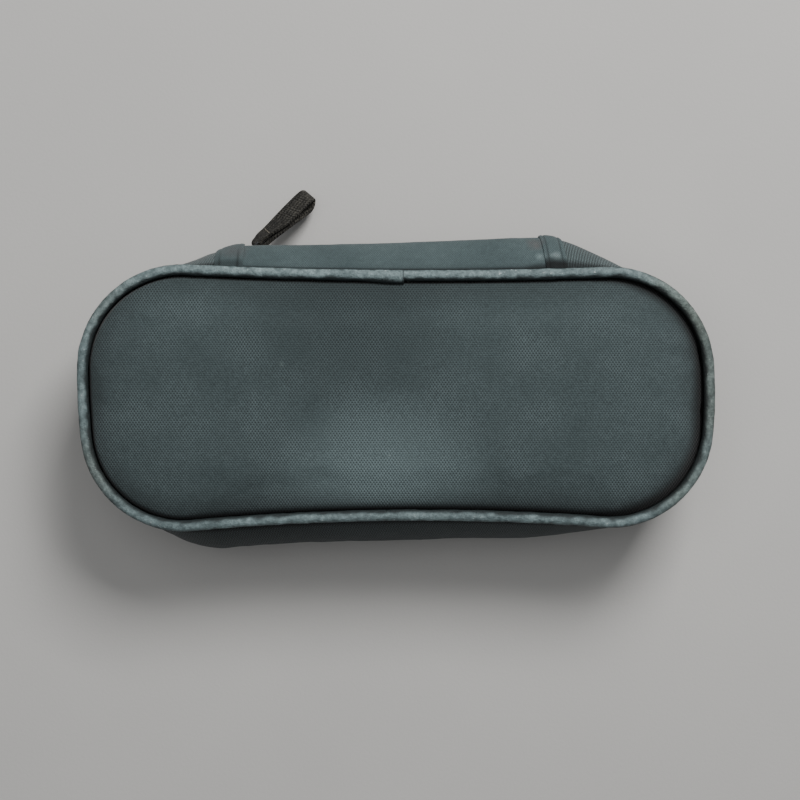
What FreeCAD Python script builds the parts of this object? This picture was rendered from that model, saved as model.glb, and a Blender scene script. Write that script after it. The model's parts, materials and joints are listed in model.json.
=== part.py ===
"""Zipped travel pouch for cables: two padded panels, piped edges and a gusset with a coil zip.

Millimetres. +X runs along the pouch, +Y points out of the zip mouth and +Z is up. The origin is
the middle of the flat face that the pouch rests on.
"""
import FreeCAD, Part
import math
import os

os.makedirs("parts", exist_ok=True)
Vector = FreeCAD.Vector

# Plan outline of the piped edge: four corner circles (centre x, centre y, radius)
MOUTH_LEFT = (-74.8, 10.0, 36.6)
MOUTH_RIGHT = (74.5, 9.5, 36.2)
BACK_LEFT = (-74.3, -10.5, 36.0)
BACK_RIGHT = (74.5, -9.2, 36.0)
# The long sides draw in slightly and the ends bow out slightly
MOUTH_SIDE_RADIUS = 1760.0
BACK_SIDE_RADIUS = 870.0
LEFT_END_RADIUS = 250.0
RIGHT_END_RADIUS = 150.0

# Heights
LOWER_PIPING_Z = 3.4
UPPER_PIPING_Z = 45.0
CROWN_Z = 50.0
ZIP_Z = 24.2

# Piping
PIPING_RADIUS = 1.9
PIPING_CORD_RADIUS = 1.2
CORD_PLAY = 0.05

# Panel layers
COVER = 0.8
LINING = 0.4
PANEL_INSET = 4.1
TOP_LINING_Z = 42.6
BASE_LINING_Z = 4.6

# Gusset wall
WALL_INSET = 0.9
WALL = 2.0
WALL_BOTTOM_Z = 5.5
WALL_TOP_Z = 42.9
MOUTH_BULGE = 13.3
MOUTH_BULGE_SLOPE = 0.047
BACK_BULGE = 9.0
BACK_BULGE_SLOPE = 0.035

# Zip panel and its moving upper lip, along X
ZIP_LEFT_X = -59.0
ZIP_RIGHT_X = 50.0
LIP_LEFT_X = -45.2
LIP_RIGHT_X = 36.2
LIP_GAP = 0.3
ZIP_Y = 50.6
TAPE = 0.5
TAPE_HALF_WIDTH = 7.2
COIL_INNER = 0.6
COIL_OUTER = 2.7
COIL_HALF_DEPTH = 1.0
BAND_EDGE = 5.4
WEDGE_CLEAR = 1.5
COIL_STOP_GAP = 1.2

# Slider and pull
SLIDER_X = -52.0
SLIDER_TRAVEL = 95.0
SLIDER_LENGTH = 11.0
SLIDER_HALF_WIDTH = 4.2
PLATE_IN = 1.25
PLATE_OUT = 2.15
FLANGE_IN = 0.55
FLANGE_WIDTH = 0.8
FLANGE_START = 2.0
FLANGE_STOP = 0.6
WEDGE_HALF_WIDTH = 0.3
WEDGE_LENGTH = 3.5
BAIL_TOP = 3.95
BAIL_HALF_LENGTH = 3.6
BAIL_BAR = 0.7
LINK_WIRE = 0.45
LINK_HALF_WIDTH = 2.7
LINK_LENGTH = 3.2
PULL_HEADING = 49.0
PULL_DROOP = 38.0
PULL_LENGTH = 32.0
PULL_START = 2.2
PULL_WIDTH = 8.0
PULL_THICKNESS = 2.4
PULL_ROOT_TILT = -55.0
PULL_TIP_TILT = -12.0

# Binding tapes on the raw seams inside
BINDING_INSET = 6.2
BINDING = 1.2
BINDING_WIDTH = 2.9
UPPER_BINDING_Z = 39.6
LOWER_BINDING_Z = 5.1

# Mesh pocket under the top panel
POCKET_HALF_LENGTH = 66.0
POCKET_BACK_Y = -34.0
POCKET_MOUTH_Y = 18.0
POCKET_BINDING_WIDTH = 6.0
POCKET_BINDING = 1.2
MESH = 0.5

# Elastic strap sewn across the base lining with bar tacks
STRAP_HALF_LENGTH = 66.0
STRAP_HALF_WIDTH = 14.0
STRAP = 1.2
TACK_FIRST_X = -62.5
TACK_PITCH = 25.0
TACK_COUNT = 6
TACK_HALF_WIDTH = 0.8
TACK = 0.5


def flat(x, y, z=0.0):
    """A point from plan coordinates and a height."""
    return Vector(x, y, z)


def touching_centre(first, second, first_reach, second_reach, side):
    """Centre at the given distances from two circle centres, on the left (+1) or right (-1)."""
    start = flat(first[0], first[1])
    across = flat(second[0], second[1]) - start
    gap = across.Length
    along = (first_reach**2 - second_reach**2 + gap**2) / (2 * gap)
    height = math.sqrt(first_reach**2 - along**2)
    unit = across * (1 / gap)
    return start + unit * along + flat(-unit.y, unit.x) * (height * side)


def side_centre(first, second, radius):
    """Centre of the hollow arc that touches two corner circles from outside."""
    return touching_centre(first, second, radius + first[2], radius + second[2], -1)


def end_centre(first, second, radius):
    """Centre of the bowed arc that touches two corner circles from inside."""
    return touching_centre(first, second, radius - first[2], radius - second[2], 1)


def outline_arcs(inset=0.0):
    """The piped edge, anticlockwise from the right end, as (centre, radius, start, sweep)."""
    corners = [MOUTH_RIGHT, MOUTH_LEFT, BACK_LEFT, BACK_RIGHT]
    mouth = side_centre(MOUTH_RIGHT, MOUTH_LEFT, MOUTH_SIDE_RADIUS)
    back = side_centre(BACK_LEFT, BACK_RIGHT, BACK_SIDE_RADIUS)
    left = end_centre(MOUTH_LEFT, BACK_LEFT, LEFT_END_RADIUS)
    right = end_centre(BACK_RIGHT, MOUTH_RIGHT, RIGHT_END_RADIUS)
    befores = [(right, -1), (mouth, 1), (left, -1), (back, 1)]
    afters = [(mouth, 1), (left, -1), (back, 1), (right, -1)]
    radii = [MOUTH_SIDE_RADIUS, LEFT_END_RADIUS, BACK_SIDE_RADIUS, RIGHT_END_RADIUS]
    bends = []
    for corner, (before, in_sign), (after, out_sign) in zip(corners, befores, afters):
        centre = flat(corner[0], corner[1])
        enter = (before - centre) * in_sign
        leave = (after - centre) * out_sign
        start = math.atan2(enter.y, enter.x)
        sweep = (math.atan2(leave.y, leave.x) - start) % (2 * math.pi)
        bends.append((centre, corner[2] - inset, start, sweep))
    arcs = []
    for place, bend in enumerate(bends):
        arcs.append(bend)
        following = bends[(place + 1) % len(bends)]
        centre, sign = afters[place]
        leave = bend[2] + bend[3]
        if sign > 0:
            turn = following[2] - leave
            turn = (turn + math.pi) % (2 * math.pi) - math.pi
            arcs.append((centre, radii[place] + inset, leave + math.pi, turn))
        else:
            turn = (following[2] - leave) % (2 * math.pi)
            arcs.append((centre, radii[place] - inset, leave, turn))
    return arcs


def arc_point(arc, part):
    """The point at a fraction of an arc."""
    centre, radius, start, sweep = arc
    angle = start + sweep * part
    return centre + flat(math.cos(angle), math.sin(angle)) * radius


def outline_wire(inset, z):
    """Closed wire of the outline, drawn in by inset, at a height."""
    lift = flat(0, 0, z)
    edges = []
    for arc in outline_arcs(inset):
        points = [arc_point(arc, part) + lift for part in (0.0, 0.5, 1.0)]
        edges.append(Part.Arc(*points).toShape())
    return Part.Wire(edges)


def stacked(levels):
    """Solid through outlines given as (inset, height) pairs."""
    return Part.makeLoft([outline_wire(inset, z) for inset, z in levels], True, True)


def plate(inset, low, high):
    """Flat plate of the outline, drawn in by inset."""
    return Part.Face(outline_wire(inset, low)).extrude(flat(0, 0, high - low))


def ring(outer, inner, inset, z):
    """Round tube, or a solid round cord when inner is zero, that follows the outline."""
    runs = []
    for centre, radius, start, sweep in outline_arcs(inset):
        spoke = flat(math.cos(start), math.sin(start))
        place = centre + spoke * radius + flat(0, 0, z)
        ahead = flat(-spoke.y, spoke.x)
        section = Part.Face(Part.Wire(Part.makeCircle(outer, place, ahead)))
        if inner > 0:
            section = section.cut(Part.Face(Part.Wire(Part.makeCircle(inner, place, ahead))))
            section = section.Faces[0]
        axis = flat(0, 0, math.copysign(1, sweep))
        runs.append(section.revolve(centre + flat(0, 0, z), axis, math.degrees(abs(sweep))))
    return runs[0].multiFuse(runs[1:]).removeSplitter()


def outline_station(distance):
    """Plan point and outward direction at a distance along the outline."""
    for arc in outline_arcs():
        centre, radius, start, sweep = arc
        length = radius * abs(sweep)
        if distance <= length:
            point = arc_point(arc, distance / length)
            outward = (point - centre) * (math.copysign(1, sweep) / radius)
            return point, outward
        distance -= length
    return outline_station(distance)


def perimeter():
    """Length all round the outline."""
    return sum(radius * abs(sweep) for _, radius, _, sweep in outline_arcs())


def distance_at(x, low, high):
    """Distance along the outline where it passes x, between two distances that bracket it."""
    rising = outline_station(high)[0].x > outline_station(low)[0].x
    for _ in range(40):
        middle = (low + high) / 2
        if (outline_station(middle)[0].x < x) == rising:
            low = middle
        else:
            high = middle
    return low


def arc_ends():
    """Distance along the outline at the end of each arc."""
    ends = []
    total = 0.0
    for _, radius, _, sweep in outline_arcs():
        total += radius * abs(sweep)
        ends.append(total)
    return ends


def smooth(value):
    """Smooth step from 0 to 1."""
    value = min(1.0, max(0.0, value))
    return value * value * (3 - 2 * value)


def mouth_bulge(x):
    """How far the zip side stands out past the piping."""
    full = min(MOUTH_BULGE, MOUTH_BULGE + MOUTH_BULGE_SLOPE * (x - 40.0))
    return full * smooth((x + 86.0) / 34.0) * smooth((90.0 - x) / 40.0)


def back_bulge(x):
    """How far the back gusset stands out past the piping."""
    full = BACK_BULGE - BACK_BULGE_SLOPE * max(0.0, x)
    return full * smooth((x + 96.0) / 36.0) * smooth((95.0 - x) / 53.0)


def wall_point(distance, share, inset):
    """Point of the gusset wall, with a share of the full bulge and an inset."""
    point, outward = outline_station(distance)
    bulge = mouth_bulge(point.x) if point.y > 0 else -back_bulge(point.x)
    return point + flat(0, bulge * share) - outward * (WALL_INSET + inset)


def strip_wire(outer, inner, z):
    """Closed section of a thin wall at one height: two smooth curves and two ends."""
    outer = [flat(p.x, p.y, z) for p in outer]
    inner = [flat(p.x, p.y, z) for p in reversed(inner)]
    edges = []
    for points in (outer, inner):
        curve = Part.BSplineCurve()
        curve.interpolate(points)
        edges.append(curve.toShape())
    start_edge = Part.makeLine(inner[-1], outer[0])
    end_edge = Part.makeLine(outer[-1], inner[0])
    return Part.Wire([edges[0], end_edge, edges[1], start_edge])


def wall_strip(first, last, count, levels, inset=0.0, thickness=WALL):
    """Stretch of gusset wall between two distances, through (height, bulge share) levels."""
    step = (last - first) / (count - 1)
    places = [first + step * number for number in range(count)]
    wires = []
    for z, share in levels:
        outer = [wall_point(place, share, inset) for place in places]
        inner = [wall_point(place, share, inset + thickness) for place in places]
        wires.append(strip_wire(outer, inner, z))
    return Part.makeLoft(wires, True, False)


ARC_ENDS = arc_ends()
PERIMETER = perimeter()
MOUTH_SPAN = (ARC_ENDS[0], ARC_ENDS[1])
BACK_SPAN = (ARC_ENDS[4], ARC_ENDS[5])
WALL_LEVELS = [(WALL_BOTTOM_Z, 0.0), (10.0, 0.62), (17.0, 0.95), (24.0, 1.0), (32.0, 0.95),
               (38.5, 0.6), (WALL_TOP_Z, 0.0)]
WALL_COUNT = 15
LINING_GAP = 0.1
ZIP_SEAM_GAP = 0.1


def gusset_strips(inset, thickness):
    """Left, back and right stretches of the gusset, round from the zip panel."""
    mouth_right = distance_at(ZIP_RIGHT_X + ZIP_SEAM_GAP, *MOUTH_SPAN)
    mouth_left = distance_at(ZIP_LEFT_X - ZIP_SEAM_GAP, *MOUTH_SPAN)
    back_left, back_right = BACK_SPAN
    spans = {
        "left_gusset": (mouth_left, back_left),
        "back_gusset": (back_left, back_right),
        "right_gusset": (back_right, PERIMETER + mouth_right),
    }
    strips = {}
    for name, (first, last) in spans.items():
        strips[name] = wall_strip(first, last, WALL_COUNT, WALL_LEVELS, inset, thickness)
    return strips


# The zip band runs from the piping, over its own bulge, and turns in to lie on the zip tape
BAND_LEVELS = [(18.2, 0.0), (16.0, 0.55), (13.0, 0.95), (10.0, 1.0)]
BAND_TURN = BAND_EDGE + 2.2
BAND_TURN_SHARE = 0.93
BAND_FACE = 1.9
BAND_BACK = 0.6
BAND_COUNT = 9


def band_strip(from_x, to_x, side):
    """Zip band above (+1) or below (-1) the zip, between two places along the pouch."""
    first = distance_at(to_x, *MOUTH_SPAN)
    last = distance_at(from_x, *MOUTH_SPAN)
    step = (last - first) / (BAND_COUNT - 1)
    places = [first + step * number for number in range(BAND_COUNT)]
    wires = []
    for reach, share in BAND_LEVELS:
        outer = [wall_point(place, share, 0.0) for place in places]
        inner = [wall_point(place, share, WALL) for place in places]
        wires.append(strip_wire(outer, inner, ZIP_Z + side * reach))
    turned = [wall_point(place, BAND_TURN_SHARE, WALL) for place in places]
    turned = [flat(p.x, max(p.y, ZIP_Y + BAND_BACK)) for p in turned]
    folded = [flat(p.x, ZIP_Y + BAND_BACK) for p in turned]
    thick = flat(0, WALL)
    wires.append(strip_wire([p + thick for p in turned], turned, ZIP_Z + side * BAND_TURN))
    face = flat(0, BAND_FACE - BAND_BACK)
    wires.append(strip_wire([p + face for p in folded], folded, ZIP_Z + side * BAND_EDGE))
    return Part.makeLoft(wires, True, False)


def box(x0, x1, y0, y1, z0, z1):
    """Box between two corners."""
    return Part.makeBox(x1 - x0, y1 - y0, z1 - z0, flat(x0, y0, z0))


def tape_strip(from_x, to_x, side):
    """Flat zip tape above (+1) or below (-1) the centre line."""
    low, high = sorted((ZIP_Z + side * COIL_OUTER, ZIP_Z + side * TAPE_HALF_WIDTH))
    return box(from_x, to_x, ZIP_Y - TAPE / 2, ZIP_Y + TAPE / 2, low, high)


def coil_strip(from_x, to_x, side):
    """Nylon coil along the tape edge, with rounded long edges."""
    low, high = sorted((ZIP_Z + side * COIL_INNER, ZIP_Z + side * COIL_OUTER))
    body = box(from_x, to_x, ZIP_Y - COIL_HALF_DEPTH, ZIP_Y + COIL_HALF_DEPTH, low, high)
    long_edges = [edge for edge in body.Edges if edge.Length > to_x - from_x - 0.01]
    return body.makeFillet(0.5, long_edges)


def stay_put_ends(build, left_x, right_x):
    """The two ends of an upper zip layer that stay put, left and right of the lip."""
    left = build(left_x, LIP_LEFT_X - LIP_GAP, 1)
    right = build(LIP_RIGHT_X + LIP_GAP, right_x, 1)
    return Part.makeCompound([left, right])


def top_stops():
    """Two small crimps that hold the closed slider."""
    stops = []
    for side in (1, -1):
        low, high = sorted((ZIP_Z + side * COIL_OUTER, ZIP_Z + side * (COIL_OUTER + 1.6)))
        middle = ZIP_Y + TAPE / 2
        stops.append(box(ZIP_LEFT_X + 0.2, ZIP_LEFT_X + 1.2, middle, middle + 0.8, low, high))
    return Part.makeCompound(stops)


def bottom_stop():
    """Crimp across both tapes at the open end."""
    front = ZIP_Y + COIL_HALF_DEPTH
    return box(ZIP_RIGHT_X - 1.1, ZIP_RIGHT_X - 0.1, ZIP_Y - COIL_HALF_DEPTH, front,
               ZIP_Z - COIL_OUTER, ZIP_Z + COIL_OUTER)


def top_panel():
    """Crowned cover, foam and lining of the top panel."""
    rim = UPPER_PIPING_Z - 0.4
    skin = [(PANEL_INSET, rim), (PANEL_INSET + 0.5, rim + 1.5), (PANEL_INSET + 7.5, rim + 3.7),
            (PANEL_INSET + 16.0, CROWN_Z - 0.6), (PANEL_INSET + 28.0, CROWN_Z)]
    inside = [(PANEL_INSET, rim)]
    inside += [(inset + COVER / 2, z - COVER) for inset, z in skin[1:]]
    crown = stacked(skin)
    filling = stacked(inside)
    lower = plate(PANEL_INSET + 0.4, TOP_LINING_Z + LINING, rim)
    return {
        "top_cover": crown.cut(filling),
        "top_foam": filling.fuse(lower).removeSplitter(),
        "top_lining": plate(PANEL_INSET + 0.4, TOP_LINING_Z, TOP_LINING_Z + LINING),
    }


def base_panel():
    """Flat cover, foam and lining of the base panel."""
    rim = LOWER_PIPING_Z + 0.2
    skin = [(PANEL_INSET + 5.0, 0.0), (PANEL_INSET + 0.6, 1.6), (PANEL_INSET, rim)]
    shell = stacked(skin)
    inside = [(PANEL_INSET + 5.2, COVER), (PANEL_INSET + 1.3, 2.1), (PANEL_INSET + 0.8, rim)]
    filling = stacked(inside)
    return {
        "base_cover": shell.cut(filling),
        "base_foam": filling.fuse(plate(PANEL_INSET + 0.8, rim, BASE_LINING_Z)).removeSplitter(),
        "base_lining": plate(PANEL_INSET + 0.8, BASE_LINING_Z, BASE_LINING_Z + LINING),
    }


def piping():
    """Leatherette covers and filler cords of both piped edges."""
    pieces = {}
    for name, z in (("upper", UPPER_PIPING_Z), ("lower", LOWER_PIPING_Z)):
        hollow = PIPING_CORD_RADIUS + CORD_PLAY
        pieces[f"{name}_piping_cover"] = ring(PIPING_RADIUS, hollow, PIPING_RADIUS, z)
        pieces[f"{name}_piping_cord"] = ring(PIPING_CORD_RADIUS, 0, PIPING_RADIUS, z)
    return pieces


def seam_bindings():
    """Binding tapes that wrap the raw seams inside, one along each piped edge."""
    pieces = {}
    for name, low in (("upper", UPPER_BINDING_Z), ("lower", LOWER_BINDING_Z)):
        high = low + BINDING_WIDTH
        hollow = plate(BINDING_INSET + BINDING, low - 1, high + 1)
        pieces[f"{name}_seam_binding"] = plate(BINDING_INSET, low, high).cut(hollow)
    return pieces


def slider_body():
    """Two plates with side flanges, joined by the wedge that parts the coils."""
    half = SLIDER_LENGTH / 2
    low = ZIP_Z - SLIDER_HALF_WIDTH
    high = ZIP_Z + SLIDER_HALF_WIDTH
    parts = []
    for side in (1, -1):
        near, far = sorted((ZIP_Y + side * PLATE_IN, ZIP_Y + side * PLATE_OUT))
        face = box(SLIDER_X - half, SLIDER_X + half, near, far, low, high)
        upright = [e for e in face.Edges if abs(e.Length - (PLATE_OUT - PLATE_IN)) < 0.01]
        parts.append(face.makeFillet(1.6, upright))
        near, far = sorted((ZIP_Y + side * FLANGE_IN, ZIP_Y + side * PLATE_IN))
        for start in (low, high - FLANGE_WIDTH):
            parts.append(box(SLIDER_X - half + FLANGE_START, SLIDER_X + half - FLANGE_STOP,
                             near, far, start, start + FLANGE_WIDTH))
    parts.append(box(SLIDER_X - half + 0.4, SLIDER_X - half + WEDGE_LENGTH,
                     ZIP_Y - PLATE_IN, ZIP_Y + PLATE_IN,
                     ZIP_Z - WEDGE_HALF_WIDTH, ZIP_Z + WEDGE_HALF_WIDTH))
    return parts[0].multiFuse(parts[1:]).removeSplitter()


def slider_bail():
    """Arched bar over the slider that the pull hangs on."""
    face = ZIP_Y + PLATE_OUT
    outer = box(SLIDER_X - BAIL_HALF_LENGTH, SLIDER_X + BAIL_HALF_LENGTH, face,
                ZIP_Y + BAIL_TOP, ZIP_Z - BAIL_BAR, ZIP_Z + BAIL_BAR)
    ends = [e for e in outer.Edges if abs(e.CenterOfMass.y - ZIP_Y - BAIL_TOP) < 0.01
            and abs(e.CenterOfMass.z - ZIP_Z) < 0.01]
    outer = outer.makeFillet(1.2, ends)
    inner = box(SLIDER_X - BAIL_HALF_LENGTH + 0.8, SLIDER_X + BAIL_HALF_LENGTH - 0.8,
                face - 1, ZIP_Y + BAIL_TOP - 0.6, ZIP_Z - 2, ZIP_Z + 2)
    return outer.cut(inner)


def pull_frame():
    """Pivot, heading, downward direction and the level direction across the pull."""
    pivot = flat(SLIDER_X, ZIP_Y + (PLATE_OUT + BAIL_TOP - 0.6) / 2, ZIP_Z)
    heading = math.radians(PULL_HEADING)
    droop = math.radians(PULL_DROOP)
    level = flat(math.cos(heading), math.sin(heading))
    ahead = level * math.cos(droop) - flat(0, 0, math.sin(droop))
    across = flat(-level.y, level.x)
    return pivot, level, ahead, across


def rod(start, end, radius):
    """Round bar between two points."""
    return Part.makeCylinder(radius, (end - start).Length, start, end - start)


def pull_link():
    """Wire link: a bar under the bail, two arms and the bar that the tape goes round."""
    pivot, level, _, _ = pull_frame()
    up = flat(0, 0, LINK_HALF_WIDTH)
    far = pivot + level * LINK_LENGTH
    corners = [pivot - up, pivot + up, far + up, far - up]
    bars = []
    for place, corner in enumerate(corners):
        bars.append(rod(corner, corners[(place + 1) % 4], LINK_WIRE))
        bars.append(Part.makeSphere(LINK_WIRE, corner))
    return bars[0].multiFuse(bars[1:]).removeSplitter()


def pull_section(centre, ahead, across, tilt, width):
    """Rectangular section of the folded tape, turned about its own length."""
    turn = FreeCAD.Rotation(ahead, tilt)
    wide = turn.multVec(across) * (width / 2)
    thick = ahead.cross(wide).normalize() * (PULL_THICKNESS / 2)
    points = [centre + wide + thick, centre - wide + thick, centre - wide - thick,
              centre + wide - thick]
    return Part.makePolygon(points + points[:1])


def pull_tape():
    """Folded woven tape, steep at the link and nearly flat at its tip."""
    pivot, level, ahead, across = pull_frame()
    root = pivot + level * LINK_LENGTH + ahead * PULL_START
    sections = []
    for part in (0.0, 0.35, 0.7, 1.0):
        tilt = PULL_ROOT_TILT + (PULL_TIP_TILT - PULL_ROOT_TILT) * part
        width = PULL_WIDTH * (0.7 + 0.3 * smooth(part * 2))
        centre = root + ahead * (PULL_LENGTH * part)
        sections.append(pull_section(centre, ahead, across, tilt, width))
    return Part.makeLoft(sections, True, False)


def interior():
    """Mesh pocket under the top panel, and the elastic strap sewn to the base lining."""
    strap_low = BASE_LINING_Z + LINING
    strap_high = strap_low + STRAP
    tacks = []
    for number in range(TACK_COUNT):
        x = TACK_FIRST_X + TACK_PITCH * number
        tacks.append(box(x - TACK_HALF_WIDTH, x + TACK_HALF_WIDTH, -STRAP_HALF_WIDTH,
                         STRAP_HALF_WIDTH, strap_high, strap_high + TACK))
    return {
        "mesh_pocket": box(-POCKET_HALF_LENGTH, POCKET_HALF_LENGTH, POCKET_BACK_Y,
                           POCKET_MOUTH_Y, TOP_LINING_Z - MESH, TOP_LINING_Z),
        "pocket_binding": box(-POCKET_HALF_LENGTH, POCKET_HALF_LENGTH, POCKET_MOUTH_Y,
                              POCKET_MOUTH_Y + POCKET_BINDING_WIDTH,
                              TOP_LINING_Z - POCKET_BINDING, TOP_LINING_Z),
        "elastic_strap": box(-STRAP_HALF_LENGTH, STRAP_HALF_LENGTH, -STRAP_HALF_WIDTH,
                             STRAP_HALF_WIDTH, strap_low, strap_high),
        "strap_bar_tacks": Part.makeCompound(tacks),
    }


def gusset():
    """Gusset strips and the lining behind them."""
    pieces = gusset_strips(0.0, WALL)
    linings = gusset_strips(WALL + LINING_GAP, LINING)
    pieces["gusset_lining"] = Part.makeCompound(list(linings.values()))
    return pieces


def zip_panel():
    """Bands, tapes and coils of the zip, with the stops; only the upper lip opens."""
    coil_left = SLIDER_X - WEDGE_CLEAR
    coil_right = ZIP_RIGHT_X - COIL_STOP_GAP
    return {
        "upper_zip_band": band_strip(LIP_LEFT_X, LIP_RIGHT_X, 1),
        "upper_zip_tape": tape_strip(LIP_LEFT_X, LIP_RIGHT_X, 1),
        "upper_zip_coil": coil_strip(LIP_LEFT_X, LIP_RIGHT_X, 1),
        "upper_band_ends": stay_put_ends(band_strip, ZIP_LEFT_X, ZIP_RIGHT_X),
        "upper_tape_ends": stay_put_ends(tape_strip, ZIP_LEFT_X, ZIP_RIGHT_X),
        "upper_coil_ends": stay_put_ends(coil_strip, coil_left, coil_right),
        "lower_zip_band": band_strip(ZIP_LEFT_X, ZIP_RIGHT_X, -1),
        "lower_zip_tape": tape_strip(ZIP_LEFT_X, ZIP_RIGHT_X, -1),
        "lower_zip_coil": coil_strip(coil_left, coil_right, -1),
        "top_stops": top_stops(),
        "bottom_stop": bottom_stop(),
    }


def pull():
    """Slider, bail, link and tape."""
    return {
        "slider_body": slider_body(),
        "slider_bail": slider_bail(),
        "pull_link": pull_link(),
        "pull_tape": pull_tape(),
    }


nodes = {}
for group in (top_panel, base_panel, piping, seam_bindings, gusset, zip_panel, pull, interior):
    nodes.update(group())
for name, shape in nodes.items():
    shape.exportStep(f"parts/{name}.step")
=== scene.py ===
"""Looks of a zipped, piped travel pouch for cables, built around its fixed CAD frame.

Sizes are in millimetres until a mesh is made, and the meshes are in metres. +X runs along the
pouch, +Y points out of the zip mouth and +Z is up.
"""

import json
import logging
import math
from dataclasses import dataclass
from enum import Enum
from functools import lru_cache
from typing import Callable, ClassVar, Sequence

import bpy
import numpy as np
from mathutils import Matrix, Vector, noise


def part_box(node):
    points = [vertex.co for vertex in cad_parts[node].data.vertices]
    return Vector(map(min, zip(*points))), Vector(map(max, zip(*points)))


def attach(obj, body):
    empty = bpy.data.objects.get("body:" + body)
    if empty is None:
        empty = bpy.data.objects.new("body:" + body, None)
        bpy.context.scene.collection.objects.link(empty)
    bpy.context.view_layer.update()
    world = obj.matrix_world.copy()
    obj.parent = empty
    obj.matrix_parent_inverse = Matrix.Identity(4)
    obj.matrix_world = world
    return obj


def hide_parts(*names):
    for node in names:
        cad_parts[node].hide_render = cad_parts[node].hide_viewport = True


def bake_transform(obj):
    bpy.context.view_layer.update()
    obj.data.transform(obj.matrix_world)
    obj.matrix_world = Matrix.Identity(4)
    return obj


MM = 0.001
# Mesh attribute that holds painted shade, 0 where painted black and 1 where unshaded.
SHADE = "shade"
MOST_FRAY = 4.0
UPPER_PIPING_Z = 45.0
LOWER_PIPING_Z = 3.4
Point = tuple[float, float, float]
Colour = tuple[float, float, float]
Surface = Callable[[float, float], Point]

log = logging.getLogger("pouch")
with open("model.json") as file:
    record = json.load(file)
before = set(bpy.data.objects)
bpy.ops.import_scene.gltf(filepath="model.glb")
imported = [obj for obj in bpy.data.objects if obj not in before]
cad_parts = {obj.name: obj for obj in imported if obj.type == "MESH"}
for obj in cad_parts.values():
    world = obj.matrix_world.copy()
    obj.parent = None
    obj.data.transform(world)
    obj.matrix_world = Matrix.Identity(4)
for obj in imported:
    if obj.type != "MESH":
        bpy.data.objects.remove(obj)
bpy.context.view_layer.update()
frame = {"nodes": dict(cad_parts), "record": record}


# ---------------------------------------------------------------- small helpers


def smooth(value: float) -> float:
    """Smooth step from 0 to 1."""
    value = min(1.0, max(0.0, value))
    return value * value * (3 - 2 * value)


def mix(first: float, second: float, share: float) -> float:
    """Value between two, by share."""
    return first + (second - first) * share


def ripple(x: float, y: float, z: float, size: float) -> float:
    """Soft noise between about -1 and 1 whose lumps are size millimetres wide."""
    return noise.noise(Vector((x / size, y / size, z / size)))


def select_only(piece: bpy.types.Object) -> None:
    """Make one object the only selected and active one.

    Args:
        piece: The object.
    """
    bpy.ops.object.select_all(action="DESELECT")
    piece.select_set(True)
    bpy.context.view_layer.objects.active = piece


def in_edit_mode(piece: bpy.types.Object, *steps: Callable[[], object]) -> None:
    """Run edit-mode operators on all of a mesh.

    Args:
        piece: The mesh object.
        steps: Calls that each run one operator.
    """
    select_only(piece)
    bpy.ops.object.mode_set(mode="EDIT")
    bpy.ops.mesh.select_all(action="SELECT")
    for step in steps:
        step()
    bpy.ops.object.mode_set(mode="OBJECT")


def weld(piece: bpy.types.Object, reach: float = 0.02) -> None:
    """Merge points that lie within reach millimetres, and turn the faces outwards."""
    in_edit_mode(
        piece,
        lambda: bpy.ops.mesh.remove_doubles(threshold=reach * MM),
        lambda: bpy.ops.mesh.normals_make_consistent(inside=False),
    )


def apply_modifier(piece: bpy.types.Object, kind: str, **settings: object) -> None:
    """Add one modifier and apply it.

    Args:
        piece: The mesh object.
        kind: Modifier type, such as SOLIDIFY.
        settings: Values set on the modifier.
    """
    select_only(piece)
    modifier = piece.modifiers.new(kind.lower(), kind)
    for key, value in settings.items():
        setattr(modifier, key, value)
    bpy.ops.object.modifier_apply(modifier=modifier.name)


def shade(piece: bpy.types.Object, degrees: float = 40.0) -> None:
    """Smooth shading, with edges kept sharp above an angle."""
    select_only(piece)
    bpy.ops.object.shade_smooth_by_angle(angle=math.radians(degrees))


def settle(piece: bpy.types.Object) -> None:
    """Put an object's place and turn into its mesh."""
    select_only(piece)
    bpy.ops.object.transform_apply(location=True, rotation=True, scale=True)


def dress(piece: bpy.types.Object, material: bpy.types.Material) -> None:
    """Give a piece one material."""
    piece.data.materials.clear()
    piece.data.materials.append(material)


def mapped_grid(name: str, across: int, up: int, place: Surface, size: tuple[float, float],
                flip: bool = False, shade_of: Callable[[float, float], float] | None = None
                ) -> bpy.types.Object:
    """Add a flat grid and lay it over a surface.

    Args:
        name: Name of the piece.
        across: Cells along the first direction.
        up: Cells along the second direction.
        place: Gives the point, in millimetres, for two fractions of the grid.
        size: Real length and height of the cloth, in millimetres, kept in its own UV map.
        flip: Turns the faces over.
        shade_of: Gives the cloth's painted shade, from 0 where it is painted black to 1 where it
            is unshaded, for two fractions of the grid.

    Returns:
        The new mesh object, at the origin.
    """
    bpy.ops.object.select_all(action="DESELECT")
    bpy.ops.mesh.primitive_grid_add(x_subdivisions=across, y_subdivisions=up, size=1.0)
    piece = bpy.context.active_object
    piece.name = name
    piece.data.name = name
    flat = np.empty(len(piece.data.vertices) * 3)
    piece.data.vertices.foreach_get("co", flat)
    flat = flat.reshape(-1, 3)
    laid = np.array([place(u + 0.5, v + 0.5) for u, v, _ in flat]) * MM
    piece.data.vertices.foreach_set("co", laid.ravel())
    cloth = piece.data.uv_layers.active.data
    spread = np.empty(len(cloth) * 2)
    cloth.foreach_get("uv", spread)
    spread = spread.reshape(-1, 2) * (np.array(size) * MM)
    cloth.foreach_set("uv", spread.ravel())
    if shade_of is not None:
        marks = [shade_of(u + 0.5, v + 0.5) for u, v, _ in flat]
        piece.data.attributes.new(SHADE, "FLOAT", "POINT").data.foreach_set("value", marks)
    if flip:
        in_edit_mode(piece, lambda: bpy.ops.mesh.flip_normals())
    piece.data.update()
    return piece


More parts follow.
